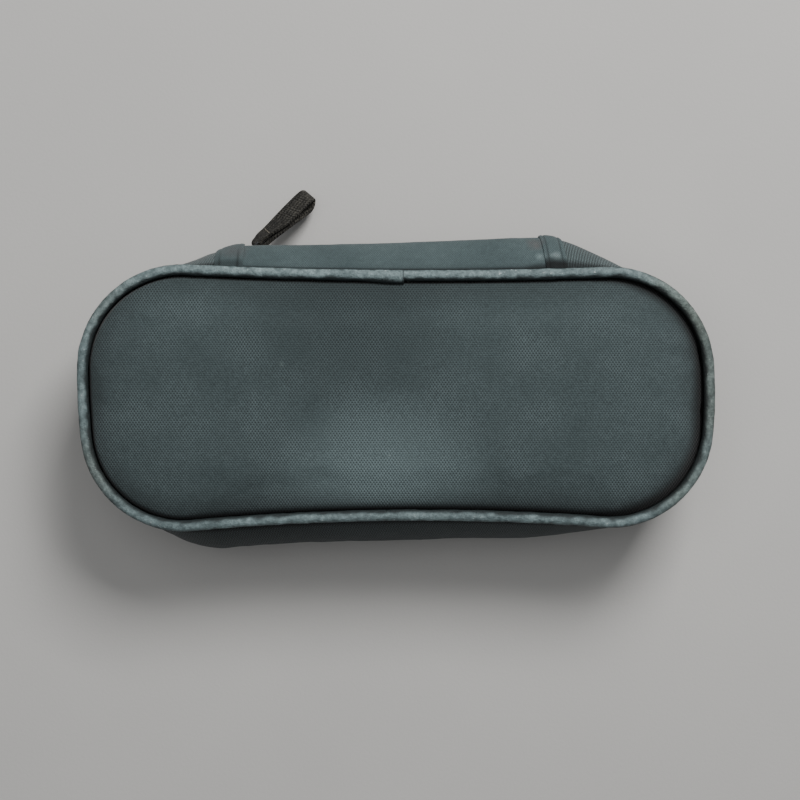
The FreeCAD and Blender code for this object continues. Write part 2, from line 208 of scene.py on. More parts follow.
def along_curve(points: Sequence[Point], count: int) -> list[Vector]:
    """Points at even steps along a smooth curve.

    Args:
        points: Given points of the curve.
        count: Number of points wanted.

    Returns:
        The even points, first and last included.
    """
    ends = [Vector(points[0]) * 2 - Vector(points[1]), Vector(points[-1]) * 2 - Vector(points[-2])]
    chain = [ends[0]] + [Vector(p) for p in points] + [ends[1]]
    fine = []
    for a, b, c, d in zip(chain, chain[1:], chain[2:], chain[3:]):
        for step in range(12):
            t = step / 12
            fine.append(0.5 * (2 * b + (c - a) * t + (2 * a - 5 * b + 4 * c - d) * t**2
                               + (3 * b - a - 3 * c + d) * t**3))
    fine.append(Vector(points[-1]))
    lengths = [0.0]
    for first, second in zip(fine, fine[1:]):
        lengths.append(lengths[-1] + (second - first).length)
    even = []
    place = 0
    for number in range(count):
        target = lengths[-1] * number / (count - 1)
        while place < len(fine) - 2 and lengths[place + 1] < target:
            place += 1
        span = lengths[place + 1] - lengths[place]
        share = (target - lengths[place]) / span if span > 0 else 0.0
        even.append(fine[place].lerp(fine[place + 1], share))
    return even


# ---------------------------------------------------------------- plan of the pouch


@dataclass(frozen=True)
class Arc:
    """One arc of the outline, with plan places as complex numbers in millimetres."""

    centre: complex
    radius: float
    start: float
    sweep: float

    def at(self, share: float) -> complex:
        """Point at a share of the arc."""
        angle = self.start + self.sweep * share
        return self.centre + self.radius * complex(math.cos(angle), math.sin(angle))

    def length(self) -> float:
        """Length along the arc."""
        return self.radius * abs(self.sweep)


@dataclass(frozen=True)
class Outline:
    """Piped edge seen from above: four corner circles joined by arcs that touch them.

    The long sides draw in and the ends bow out, as a stuffed pouch's do.
    """

    mouth_right: tuple[complex, float] = (74.5 + 9.5j, 36.2)
    mouth_left: tuple[complex, float] = (-74.8 + 10.0j, 36.6)
    back_left: tuple[complex, float] = (-74.3 - 10.5j, 36.0)
    back_right: tuple[complex, float] = (74.5 - 9.2j, 36.0)
    mouth_side: float = 1760.0
    left_end: float = 250.0
    back_side: float = 870.0
    right_end: float = 150.0

    def touching(self, first: tuple[complex, float], second: tuple[complex, float],
                 radius: float, hollow: bool) -> complex:
        """Centre of an arc that touches two corner circles.

        Args:
            first: Corner circle where the arc starts.
            second: Corner circle where it ends.
            radius: The arc's own radius.
            hollow: True for a side that draws in, False for an end that bows out.

        Returns:
            The arc's centre.
        """
        sign = 1 if hollow else -1
        near = radius + sign * first[1]
        far = radius + sign * second[1]
        across = second[0] - first[0]
        gap = abs(across)
        along = (near**2 - far**2 + gap**2) / (2 * gap)
        height = math.sqrt(near**2 - along**2)
        unit = across / gap
        return first[0] + unit * along - 1j * unit * height * sign

    def arcs(self) -> list[Arc]:
        """The eight arcs, anticlockwise from the mouth side's right corner.

        Returns:
            The arcs, each starting where the last one ends.
        """
        corners = [self.mouth_right, self.mouth_left, self.back_left, self.back_right]
        radii = [self.mouth_side, self.left_end, self.back_side, self.right_end]
        joins = []
        for place, radius in enumerate(radii):
            hollow = place % 2 == 0
            centre = self.touching(corners[place], corners[(place + 1) % 4], radius, hollow)
            joins.append((centre, radius, hollow))
        bends = []
        for place, (centre, radius) in enumerate(corners):
            before, after = joins[place - 1], joins[place]
            enter = (before[0] - centre) * (1 if before[2] else -1)
            leave = (after[0] - centre) * (1 if after[2] else -1)
            start = math.atan2(enter.imag, enter.real)
            sweep = (math.atan2(leave.imag, leave.real) - start) % (2 * math.pi)
            bends.append(Arc(centre, radius, start, sweep))
        arcs = []
        for place, (centre, radius, hollow) in enumerate(joins):
            bend, following = bends[place], bends[(place + 1) % 4]
            arcs.append(bend)
            leave = bend.start + bend.sweep
            turn = (following.start - leave + math.pi) % (2 * math.pi) - math.pi
            arcs.append(Arc(centre, radius, leave + (math.pi if hollow else 0.0), turn))
        return arcs

    def length(self) -> float:
        """Length all round."""
        return sum(arc.length() for arc in ARCS)

    def station(self, distance: float) -> tuple[complex, complex]:
        """Point and outward direction at a distance along the outline.

        Args:
            distance: Millimetres along the outline; it may pass the end.

        Returns:
            The point, and the unit vector that points out of the pouch there.
        """
        distance %= self.length()
        for arc in ARCS:
            if distance <= arc.length():
                point = arc.at(distance / arc.length())
                outward = (point - arc.centre) / arc.radius * math.copysign(1, arc.sweep)
                return point, outward
            distance -= arc.length()
        return ARCS[0].at(0.0), 1 + 0j

    def mouth_distance(self, x: float) -> float:
        """Distance along the outline where the mouth side passes x.

        Args:
            x: Where the mouth side is crossed.

        Returns:
            Millimetres along the outline, from its start.
        """
        low = ARCS[0].length() * 0.4
        high = ARCS[0].length() + ARCS[1].length() + ARCS[2].length() * 0.6
        for _ in range(30):
            middle = (low + high) / 2
            if self.station(middle)[0].real > x:
                low = middle
            else:
                high = middle
        return low


OUTLINE = Outline()
ARCS = OUTLINE.arcs()


@lru_cache(maxsize=None)
def mouth_line(x: float) -> float:
    """Y of the outline on the mouth side at x."""
    return OUTLINE.station(OUTLINE.mouth_distance(x))[0].imag


@dataclass(frozen=True)
class Walls:
    """How the gusset stands between the two piped edges."""

    bottom: float = 5.1
    top: float = 43.3
    inset: float = 0.9
    zip_z: float = 24.2
    zip_y: float = 50.6
    zip_left: float = -59.0
    zip_right: float = 50.0
    mouth_bulge: float = 13.75
    mouth_slope: float = 0.041
    back_bulge: float = 9.0
    back_slope: float = 0.035
    valley_reach: float = 16.0
    zip_face: float = 1.6
    widest_x: float = 40.0
    mouth_ends: tuple[float, float] = (-86.0, 90.0)
    mouth_fades: tuple[float, float] = (34.0, 40.0)
    back_ends: tuple[float, float] = (-96.0, 95.0)
    back_fades: tuple[float, float] = (36.0, 53.0)
    full_reach: float = 0.36

    @staticmethod
    def fade(x: float, ends: tuple[float, float], fades: tuple[float, float]) -> float:
        """Share of a swell at x: 0 outside its ends, 1 once past its fades."""
        return smooth((x - ends[0]) / fades[0]) * smooth((ends[1] - x) / fades[1])

    def mouth_swell(self, x: float) -> float:
        """How far the mouth side stands out past the piping at x."""
        full = self.mouth_bulge + self.mouth_slope * min(0.0, x - self.widest_x)
        return full * self.fade(x, self.mouth_ends, self.mouth_fades)

    def back_swell(self, x: float) -> float:
        """How far the back stands out past the piping at x."""
        full = self.back_bulge - self.back_slope * max(0.0, x)
        return full * self.fade(x, self.back_ends, self.back_fades)

    def reach(self, z: float) -> float:
        """How far a height is from the zip line, 0 there and 1 at either piping."""
        return min(1.0, abs(z - self.zip_z) / (self.top - self.zip_z))

    def share(self, z: float) -> float:
        """Share of the full swell at a height."""
        falling = max(0.0, (self.reach(z) - self.full_reach) / (1 - self.full_reach))
        return max(0.0, math.cos(math.pi / 2 * falling)) ** 0.8

    def valley(self, x: float) -> float:
        """How much the wall dips towards the zip at x, 1 over the zip itself.

        Args:
            x: Place along the pouch.

        Returns:
            1 over the zip, falling to 0 past its ends.
        """
        left = smooth((x - self.zip_left + self.valley_reach) / self.valley_reach)
        right = smooth((self.zip_right + self.valley_reach - x) / self.valley_reach)
        return left * right

    def mouth(self, x: float, z: float) -> float:
        """Y of the mouth side's outer face at a place and height.

        Args:
            x: Place along the pouch.
            z: Height above what the pouch lies on.

        Returns:
            Y of the face.
        """
        swollen = mouth_line(round(x, 2)) - self.inset + self.mouth_swell(x) * self.share(z)
        rise = smooth((self.reach(z) - 0.2) / 0.3)
        dipped = mix(self.zip_y + self.zip_face, swollen, rise)
        return mix(swollen, dipped, self.valley(x))


WALLS = Walls()


# ---------------------------------------------------------------- finishes


class Coordinates(Enum):
    """Where a pattern takes its place from."""

    OBJECT = "Object"
    CLOTH = "UV"


def rgba(colour: Colour) -> tuple[float, float, float, float]:
    """A colour with full alpha."""
    return (*colour, 1.0)


@dataclass(frozen=True)
class Spot:
    """A patch of colour on a surface: real wear, stains and lint, and on the top panel also
    painted shade and painted highlight.
    """

    centre: Point
    radius: float
    edge: float
    colour: Colour
    strength: float


class Graph:
    """Short way to lay out one material's nodes."""

    def __init__(self, name: str, coordinates: Coordinates) -> None:
        """Start an empty principled material.

        Args:
            name: The material's name.
            coordinates: Where its patterns take their place from.
        """
        self.material = bpy.data.materials.new(name)
        self.material.use_nodes = True
        self.nodes = self.material.node_tree.nodes
        self.links = self.material.node_tree.links
        self.shader = self.nodes["Principled BSDF"]
        place = self.nodes.new("ShaderNodeTexCoord")
        self.place = place.outputs[coordinates.value]
        self.object_place = place.outputs["Object"]

    def feed(self, socket: bpy.types.NodeSocket, value: object) -> None:
        """Link a socket to another, or set its value."""
        if isinstance(value, bpy.types.NodeSocket):
            self.links.new(value, socket)
        else:
            socket.default_value = value

    def math(self, operation: str, first: object, second: object) -> bpy.types.NodeSocket:
        """One math node's result.

        Args:
            operation: The node's operation.
            first: First value or socket.
            second: Second value or socket.

        Returns:
            The result's socket.
        """
        node = self.nodes.new("ShaderNodeMath")
        node.operation = operation
        self.feed(node.inputs[0], first)
        self.feed(node.inputs[1], second)
        return node.outputs[0]

    def times(self, first: object, second: object) -> bpy.types.NodeSocket:
        """The product of two values."""
        return self.math("MULTIPLY", first, second)

    def turned(self, degrees: float) -> bpy.types.NodeSocket:
        """The pattern's place, turned about Z.

        Args:
            degrees: The turn.

        Returns:
            The turned place's socket.
        """
        node = self.nodes.new("ShaderNodeMapping")
        self.links.new(self.place, node.inputs["Vector"])
        node.inputs["Rotation"].default_value[2] = math.radians(degrees)
        return node.outputs[0]

    def noise(self, size: float, detail: float = 2.0, place: object = None,
              roughness: float = 0.5) -> bpy.types.NodeSocket:
        """Noise whose lumps are size millimetres wide.

        Args:
            size: Width of a lump, in millimetres.
            detail: How many finer layers it has.
            place: Where it is read, or None for the piece's own place.
            roughness: How strong the finer layers are.

        Returns:
            Its socket, about 0 to 1.
        """
        node = self.nodes.new("ShaderNodeTexNoise")
        self.links.new(place or self.place, node.inputs["Vector"])
        node.inputs["Scale"].default_value = 1 / (size * MM)
        node.inputs["Detail"].default_value = detail
        node.inputs["Roughness"].default_value = roughness
        return node.outputs[0]

    def bands(self, pitch: float, direction: str, place: object = None,
              distortion: float = 0.0) -> bpy.types.NodeSocket:
        """Sine bands, pitch millimetres apart, across one direction.

        Args:
            pitch: Millimetres from band to band.
            direction: Axis that the bands follow each other along.
            place: Where they are read, or None for the piece's own place.
            distortion: How far they wander.

        Returns:
            Their socket, 0 to 1.
        """
        node = self.nodes.new("ShaderNodeTexWave")
        node.bands_direction = direction
        self.links.new(place or self.place, node.inputs["Vector"])
        node.inputs["Scale"].default_value = math.pi / 10 / (pitch * MM)
        node.inputs["Distortion"].default_value = distortion
        node.inputs["Detail"].default_value = 1.0
        node.inputs["Detail Scale"].default_value = 2.0
        return node.outputs["Fac"]

    def span(self, value: object, low: float, high: float, to_low: float = 0.0,
             to_high: float = 1.0) -> bpy.types.NodeSocket:
        """A value's range stretched to another, and held inside it.

        Args:
            value: Value or socket.
            low: Start of its range.
            high: End of its range.
            to_low: Start of the new range.
            to_high: End of the new range.

        Returns:
            The result's socket.
        """
        node = self.nodes.new("ShaderNodeMapRange")
        self.feed(node.inputs["Value"], value)
        node.inputs["From Min"].default_value = low
        node.inputs["From Max"].default_value = high
        node.inputs["To Min"].default_value = to_low
        node.inputs["To Max"].default_value = to_high
        return node.outputs[0]

    def blend(self, share: object, first: object, second: object,
              mode: str = "MIX") -> bpy.types.NodeSocket:
        """Two colours blended by share.

        Args:
            share: How much of the second colour shows.
            first: First colour or socket.
            second: Second colour or socket.
            mode: How the second is laid over the first.

        Returns:
            The colour's socket.
        """
        node = self.nodes.new("ShaderNodeMix")
        node.data_type = "RGBA"
        node.blend_type = mode
        self.feed(node.inputs["Factor"], share)
        self.feed(node.inputs[6], first)
        self.feed(node.inputs[7], second)
        return node.outputs[2]

    def spot(self, spot: Spot) -> bpy.types.NodeSocket:
        """1 inside a ball on the object, falling to 0 over its edge, with a ragged border.

        Args:
            spot: The patch of colour.

        Returns:
            Its mask's socket.
        """
        node = self.nodes.new("ShaderNodeVectorMath")
        node.operation = "DISTANCE"
        self.links.new(self.object_place, node.inputs[0])
        node.inputs[1].default_value = [value * MM for value in spot.centre]
        fray = min(0.9 * spot.edge, MOST_FRAY)
        ragged = self.times(self.noise(2.5, 3.0, self.object_place), fray * MM)
        reach = self.math("ADD", node.outputs["Value"], ragged)
        return self.span(reach, spot.radius * MM, (spot.radius + spot.edge) * MM, 1.0, 0.0)

    def mark(self) -> bpy.types.NodeSocket:
        """Painted shade of each point of the piece, as stored on its mesh.

        Returns:
            The mark's socket, 0 to 1.
        """
        node = self.nodes.new("ShaderNodeAttribute")
        node.attribute_name = SHADE
        return node.outputs["Fac"]

    def bump(self, height: object, depth: float) -> None:
        """Raise the surface by a height, depth millimetres deep.

        Args:
            height: Height's socket, 0 to 1.
            depth: How deep a height of 1 is, in millimetres.
        """
        node = self.nodes.new("ShaderNodeBump")
        node.inputs["Distance"].default_value = depth * MM
        self.feed(node.inputs["Height"], height)
        self.links.new(node.outputs[0], self.shader.inputs["Normal"])

    def finish(self, colour: object, roughness: object, **values: float) -> bpy.types.Material:
        """Set the shader's own values and return the material.

        Args:
            colour: Colour or socket.
            roughness: Roughness or socket.
            values: Other inputs, with underscores for spaces.

        Returns:
            The finished material.
        """
        self.feed(self.shader.inputs["Base Color"], colour)
        self.feed(self.shader.inputs["Roughness"], roughness)
        for key, value in values.items():
            self.shader.inputs[key.replace("_", " ")].default_value = value
        return self.material


@dataclass(frozen=True)
class WovenFinish:
    """Plain-woven cloth, from fine lining to coarse webbing.

    A repeat is two threads wide and two rows high, so over and under alternate as on a
    chequerboard.
    """

    name: str
    dark: Colour
    light: Colour
    repeat: tuple[float, float] = (1.06, 1.54)
    turn: float = 0.0
    depth: float = 0.14
    contrast: float = 0.5
    row_contrast: float = 0.2
    coordinates: Coordinates = Coordinates.OBJECT
    mottle: float = 0.5
    heather: float = 0.5
    gloss: float = 0.25
    roughness: float = 0.85
    sheen: float = 0.1
    # Whether the cloth is darkened by the painted shade stored on its mesh.
    reads_painted_shade: bool = False
    ribbed: float = 0.0
    spots: tuple[Spot, ...] = ()

    def material(self) -> bpy.types.Material:
        """Build the cloth's material.

        Returns:
            The material.
        """
        graph = Graph(self.name, self.coordinates)
        threads = graph.turned(self.turn)
        warp = graph.bands(self.repeat[0], "X", threads, 0.7)
        weft = graph.bands(self.repeat[1], "Y", threads, 0.7)
        rows = graph.bands(self.repeat[1] / 2, "Y", threads, 0.7)
        over = graph.times(graph.math("SUBTRACT", warp, 0.5), graph.math("SUBTRACT", weft, 0.5))
        over = graph.math("ADD", graph.times(over, 2.0), 0.5)
        fuzz = graph.noise(self.repeat[0] * 0.4, 2.0)
        patches = graph.noise(24.0, 3.0)
        clumps = graph.noise(2.4, 4.0, roughness=0.65)
        tone = graph.blend(graph.span(patches, 0.35, 0.65), rgba(self.dark), rgba(self.light))
        tone = graph.blend(self.mottle, tone,
                           graph.blend(graph.span(clumps, 0.3, 0.7), rgba(self.dark),
                                       rgba(self.light)))
        for spot in self.spots:
            mask = graph.times(graph.spot(spot), spot.strength)
            tone = graph.blend(mask, tone, rgba(spot.colour))
        clear = graph.span(patches, 0.38, 0.58, 0.3 * self.contrast, self.contrast)
        weave = graph.times(graph.math("SUBTRACT", over, 0.5), clear)
        weave = graph.times(graph.math("ADD", weave, 0.5), 2.0)
        ribs = graph.span(rows, 0.0, 1.0, 1 - self.row_contrast, 1 + self.row_contrast)
        specks = graph.span(fuzz, 0.3, 0.7, 1 - self.heather / 2, 1 + self.heather / 2)
        shade_of = graph.times(graph.times(weave, ribs), specks)
        if self.ribbed > 0:
            lines = graph.span(warp, 0.0, 1.0, 1 - self.ribbed, 1 + self.ribbed)
            shade_of = graph.times(shade_of, lines)
        # Painted shade from the mesh darkens the cloth's colour.
        if self.reads_painted_shade:
            shade_of = graph.times(shade_of, graph.mark())
        grey = graph.nodes.new("ShaderNodeCombineColor")
        for socket in grey.inputs[:3]:
            graph.links.new(shade_of, socket)
        tone = graph.blend(1.0, tone, grey.outputs[0], "MULTIPLY")
        height = graph.math("ADD", over, graph.times(fuzz, 0.6))
        graph.bump(height, self.depth)
        return graph.finish(tone, graph.span(clumps, 0.3, 0.7, self.roughness - 0.06,
                                             self.roughness + 0.06),
                            Sheen_Weight=self.sheen, Sheen_Roughness=0.5,
                            Specular_IOR_Level=self.gloss)


@dataclass(frozen=True)
class LeatheretteFinish:
    """Scuffed leatherette: fine grain, pale along its crest partly from wear and partly as a
    painted highlight, darker below it, with painted shade read from the mesh.
    """

    name: str
    base: Colour
    pale: Colour
    crest_z: float
    crest_rise: float = 1.3
    grain: float = 0.55
    roughness: float = 0.6
    flecks: float = 0.6
    spots: tuple[Spot, ...] = ()

    def material(self) -> bpy.types.Material:
        """Build the leatherette's material.

        Returns:
            The material.
        """
        graph = Graph(self.name, Coordinates.OBJECT)
        grain = graph.noise(self.grain, 4.0, roughness=0.6)
        scuff = graph.noise(2.2, 5.0, roughness=0.72)
        broad = graph.noise(14.0, 3.0)
        fleck = graph.noise(1.1, 4.0, roughness=0.7)
        part = graph.nodes.new("ShaderNodeSeparateXYZ")
        graph.links.new(graph.object_place, part.inputs[0])
        ragged = graph.times(graph.math("SUBTRACT", scuff, 0.5), 5.0 * MM)
        height = graph.math("ADD", part.outputs["Z"], ragged)
        # The crest's paler tone is partly wear and partly a painted highlight on the top of the
        # tube.
        crest = graph.span(height, (self.crest_z - 0.3) * MM,
                           (self.crest_z + self.crest_rise) * MM)
        worn = graph.times(crest, graph.span(broad, 0.3, 0.7, 0.55, 1.0))
        worn = graph.times(worn, graph.span(scuff, 0.38, 0.6, 0.35, 1.0))
        tone = graph.blend(worn, rgba(self.base), rgba(self.pale))
        tone = graph.blend(graph.span(grain, 0.4, 0.6, 0.0, 0.5), tone,
                           rgba(tuple(value * 0.5 for value in self.base)))
        # Painted shade from the mesh darkens the tube towards a third of its base colour.
        painted_light_share = graph.mark()
        tone = graph.blend(graph.math("SUBTRACT", 1.0, painted_light_share), tone,
                           rgba(tuple(value * 0.3 for value in self.base)))
        for spot in self.spots:
            mask = graph.times(graph.spot(spot), spot.strength)
            tone = graph.blend(mask, tone, rgba(spot.colour), "MULTIPLY")
        white = graph.times(graph.span(fleck, 0.64, 0.7), self.flecks)
        # White flecks are hidden where painted shade falls.
        white = graph.times(white, painted_light_share)
        tone = graph.blend(white, tone, (0.6, 0.66, 0.65, 1.0))
        relief = graph.math("ADD", graph.times(grain, 0.6), scuff)
        graph.bump(relief, 0.45)
        return graph.finish(tone, graph.span(scuff, 0.35, 0.65, self.roughness - 0.1,
                                             self.roughness + 0.15),
                            Specular_IOR_Level=0.4)


@dataclass(frozen=True)
class SolidFinish:
    """Moulded nylon, painted metal, foam or thread: one colour with fine grain and wear."""

    name: str
    base: Colour
    worn: Colour
    grain: float = 0.6
    depth: float = 0.04
    roughness: float = 0.45
    metallic: float = 0.0
    wear: float = 0.3

    def material(self) -> bpy.types.Material:
        """Build the material.

        Returns:
            The material.
        """
        graph = Graph(self.name, Coordinates.OBJECT)
        grain = graph.noise(self.grain, 4.0)
        rubbed = graph.noise(2.2, 5.0, roughness=0.7)
        tone = graph.blend(graph.times(graph.span(rubbed, 0.5, 0.7), self.wear),
                           rgba(self.base), rgba(self.worn))
        tone = graph.blend(graph.span(grain, 0.3, 0.7, 0.0, 0.3), tone,
                           rgba(tuple(value * 0.6 for value in self.base)))
        graph.bump(grain, self.depth)
        return graph.finish(tone, graph.span(rubbed, 0.3, 0.7, self.roughness - 0.08,
                                             self.roughness + 0.12), Metallic=self.metallic)


PANEL_SPECKS_AND_PAINTED_LIGHT = (
    Spot((-2.6, -19.9, 49.8), 0.3, 0.5, (0.7, 0.8, 0.76), 0.9),
    Spot((-39.5, 11.5, 49.8), 0.4, 2.0, (0.16, 0.2, 0.19), 0.5),
    # Painted shade over the panel's upper part and a painted highlight over its lower middle.
    Spot((-15.0, 38.0, 48.5), 17.0, 34.0, (0.022, 0.031, 0.032), 0.7),
    Spot((-5.0, -38.0, 49.8), 5.0, 40.0, (0.098, 0.131, 0.134), 0.9),
    # Painted shade in the dents at the panel's right end.
    Spot((101.5, 15.0, 47.0), 0.8, 5.0, (0.02, 0.026, 0.027), 0.6),
    Spot((95.0, 15.5, 47.0), 0.3, 3.0, (0.02, 0.026, 0.027), 0.5),
    Spot((104.0, -4.5, 47.0), 0.4, 3.0, (0.02, 0.026, 0.027), 0.5),
)
PANEL_CLOTH = WovenFinish("panel cloth", (0.03, 0.043, 0.044), (0.052, 0.069, 0.071),
                          reads_painted_shade=True, contrast=0.62, spots=PANEL_SPECKS_AND_PAINTED_LIGHT)
BASE_CLOTH = WovenFinish("base cloth", (0.034, 0.047, 0.049), (0.052, 0.069, 0.071))
BAND_SPOTS = (
    Spot((50.5, 50.0, 41.0), 0.4, 3.2, (0.2, 0.26, 0.26), 0.6),
    Spot((56.0, 49.6, 41.0), 0.5, 3.4, (0.22, 0.27, 0.27), 0.6),
    Spot((49.0, 54.0, 36.5), 1.5, 4.5, (0.085, 0.06, 0.056), 0.6),
    Spot((-57.0, 51.0, 37.0), 2.0, 6.0, (0.06, 0.055, 0.056), 0.6),
)
BAND_CLOTH = WovenFinish("zip band cloth", (0.034, 0.051, 0.053), (0.058, 0.08, 0.082),
                         repeat=(0.8, 0.9), depth=0.08, contrast=0.3, row_contrast=0.1,
                         reads_painted_shade=True, spots=BAND_SPOTS)
GUSSET_CLOTH = WovenFinish("gusset cloth", (0.035, 0.047, 0.048), (0.062, 0.082, 0.083),
                           repeat=(0.86, 1.5), turn=13.0, depth=0.2, contrast=0.12,
                           row_contrast=0.06, coordinates=Coordinates.CLOTH, ribbed=0.45,
                           reads_painted_shade=True, spots=BAND_SPOTS)
LINING_CLOTH = WovenFinish("lining cloth", (0.02, 0.022, 0.025), (0.036, 0.039, 0.044),
                           repeat=(0.6, 0.6), depth=0.06, roughness=0.7)
BINDING_TAPE = WovenFinish("binding tape", (0.012, 0.013, 0.014), (0.026, 0.027, 0.03),
                           repeat=(0.8, 1.6), depth=0.12)
ZIP_TAPE = WovenFinish("zip tape", (0.013, 0.015, 0.016), (0.026, 0.029, 0.031),
                       repeat=(0.8, 1.2), depth=0.15)
PULL_WEBBING = WovenFinish("pull webbing", (0.002, 0.002, 0.002), (0.046, 0.043, 0.036),
                           repeat=(2.1, 1.7), turn=32.0, depth=0.6, contrast=0.95,
                           row_contrast=0.5, coordinates=Coordinates.CLOTH, roughness=0.55,
                           heather=1.6, gloss=0.16, sheen=0.0)
ELASTIC_WEBBING = WovenFinish("elastic webbing", (0.016, 0.017, 0.018), (0.04, 0.042, 0.045),
                              repeat=(2.0, 1.0), depth=0.3)
MESH_NET = WovenFinish("mesh net", (0.006, 0.006, 0.007), (0.06, 0.062, 0.066),
                       repeat=(2.4, 2.4), turn=45.0, depth=0.5, contrast=0.9, heather=0.2)
PIPING_STAINS = (
    Spot((112.0, 8.0, 45.0), 19.0, 16.0, (0.62, 0.58, 0.52), 0.9),
    Spot((100.0, 36.0, 45.0), 9.0, 12.0, (0.95, 0.88, 0.78), 0.8),
    Spot((-108.0, -26.0, 45.0), 8.0, 14.0, (0.8, 0.72, 0.66), 0.8),
    Spot((104.0, -34.0, 45.0), 9.0, 12.0, (0.85, 0.8, 0.72), 0.7),
    Spot((-104.0, 34.0, 45.0), 7.0, 12.0, (0.9, 0.84, 0.78), 0.6),
)
UPPER_PIPING_SKIN = LeatheretteFinish("upper piping leatherette", (0.04, 0.06, 0.062),
                                      (0.25, 0.33, 0.335), UPPER_PIPING_Z,
                                      spots=PIPING_STAINS)
LOWER_PIPING_SKIN = LeatheretteFinish("lower piping leatherette", (0.05, 0.068, 0.068),
                                      (0.13, 0.165, 0.16), LOWER_PIPING_Z + 0.6)
STITCH_THREAD = SolidFinish("sewing thread", (0.03, 0.038, 0.04), (0.08, 0.09, 0.09), grain=0.2,
                            depth=0.08, roughness=0.6)
PULL_THREAD = SolidFinish("pull thread", (0.16, 0.14, 0.11), (0.3, 0.27, 0.2), grain=0.2,
                          depth=0.08, roughness=0.6)
NYLON_COIL = SolidFinish("zip coil nylon", (0.018, 0.019, 0.021), (0.05, 0.052, 0.055),
                         roughness=0.35)
SLIDER_PAINT = SolidFinish("slider paint", (0.02, 0.021, 0.022), (0.16, 0.155, 0.15),
                           roughness=0.45, metallic=0.4, wear=0.35)
FOAM = SolidFinish("foam", (0.2, 0.2, 0.21), (0.3, 0.3, 0.31), depth=0.3, roughness=0.9)
FILLER_CORD = SolidFinish("filler cord", (0.42, 0.42, 0.39), (0.55, 0.55, 0.52), roughness=0.85)

NODE_FINISHES = {
    "foam": FOAM,
    "filler_cord": FILLER_CORD,
    "lining": LINING_CLOTH,
    "binding": BINDING_TAPE,
    "zip_metal": SLIDER_PAINT,
    "slider_metal": SLIDER_PAINT,
    "mesh": MESH_NET,
    "elastic": ELASTIC_WEBBING,
    "stitching": STITCH_THREAD,
}


@lru_cache(maxsize=None)
def material_of(finish: WovenFinish | LeatheretteFinish | SolidFinish) -> bpy.types.Material:
    """The one material made for a finish."""
    return finish.material()


# ---------------------------------------------------------------- sub-assemblies


class SubAssembly:
    """What every group of pieces shares: how a piece is dressed, carried and recorded."""

    replaced: ClassVar[set[str]] = set()

    def fit(self, piece: bpy.types.Object, finish: object, slot: str, *nodes: str,
            body: str | None = None) -> bpy.types.Object:
        """Dress a piece, and say what it rides on and stands for.

        Args:
            piece: The finished mesh.
            finish: The finish that it gets.
            slot: The record's material slot; not used.
            nodes: CAD nodes that it replaces.
            body: The body it rides on, or None to leave it on no body.

        Returns:
            The same piece.
        """
        dress(piece, material_of(finish))
        if body is not None:
            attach(piece, body)
        if nodes:
            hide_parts(*nodes)
            SubAssembly.replaced.update(nodes)
        log.info("%s: %d faces", piece.name, len(piece.data.polygons))
        return piece


@dataclass(frozen=True)
class Dent:
    """A dimple or fold in a panel: its middle, how far it spreads and how deep it is."""

    x: float
    y: float
    long: float
    wide: float
    deep: float


TOP_DENTS = (
    Dent(101.0, 15.0, 9.0, 2.2, 0.55),
    Dent(104.0, -4.5, 5.0, 2.0, 0.4),
    Dent(-58.0, 33.0, 16.0, 5.0, 0.4),
    Dent(-98.0, -4.0, 12.0, 3.0, 0.25),
    Dent(0.0, 30.0, 30.0, 4.0, 0.25),
)


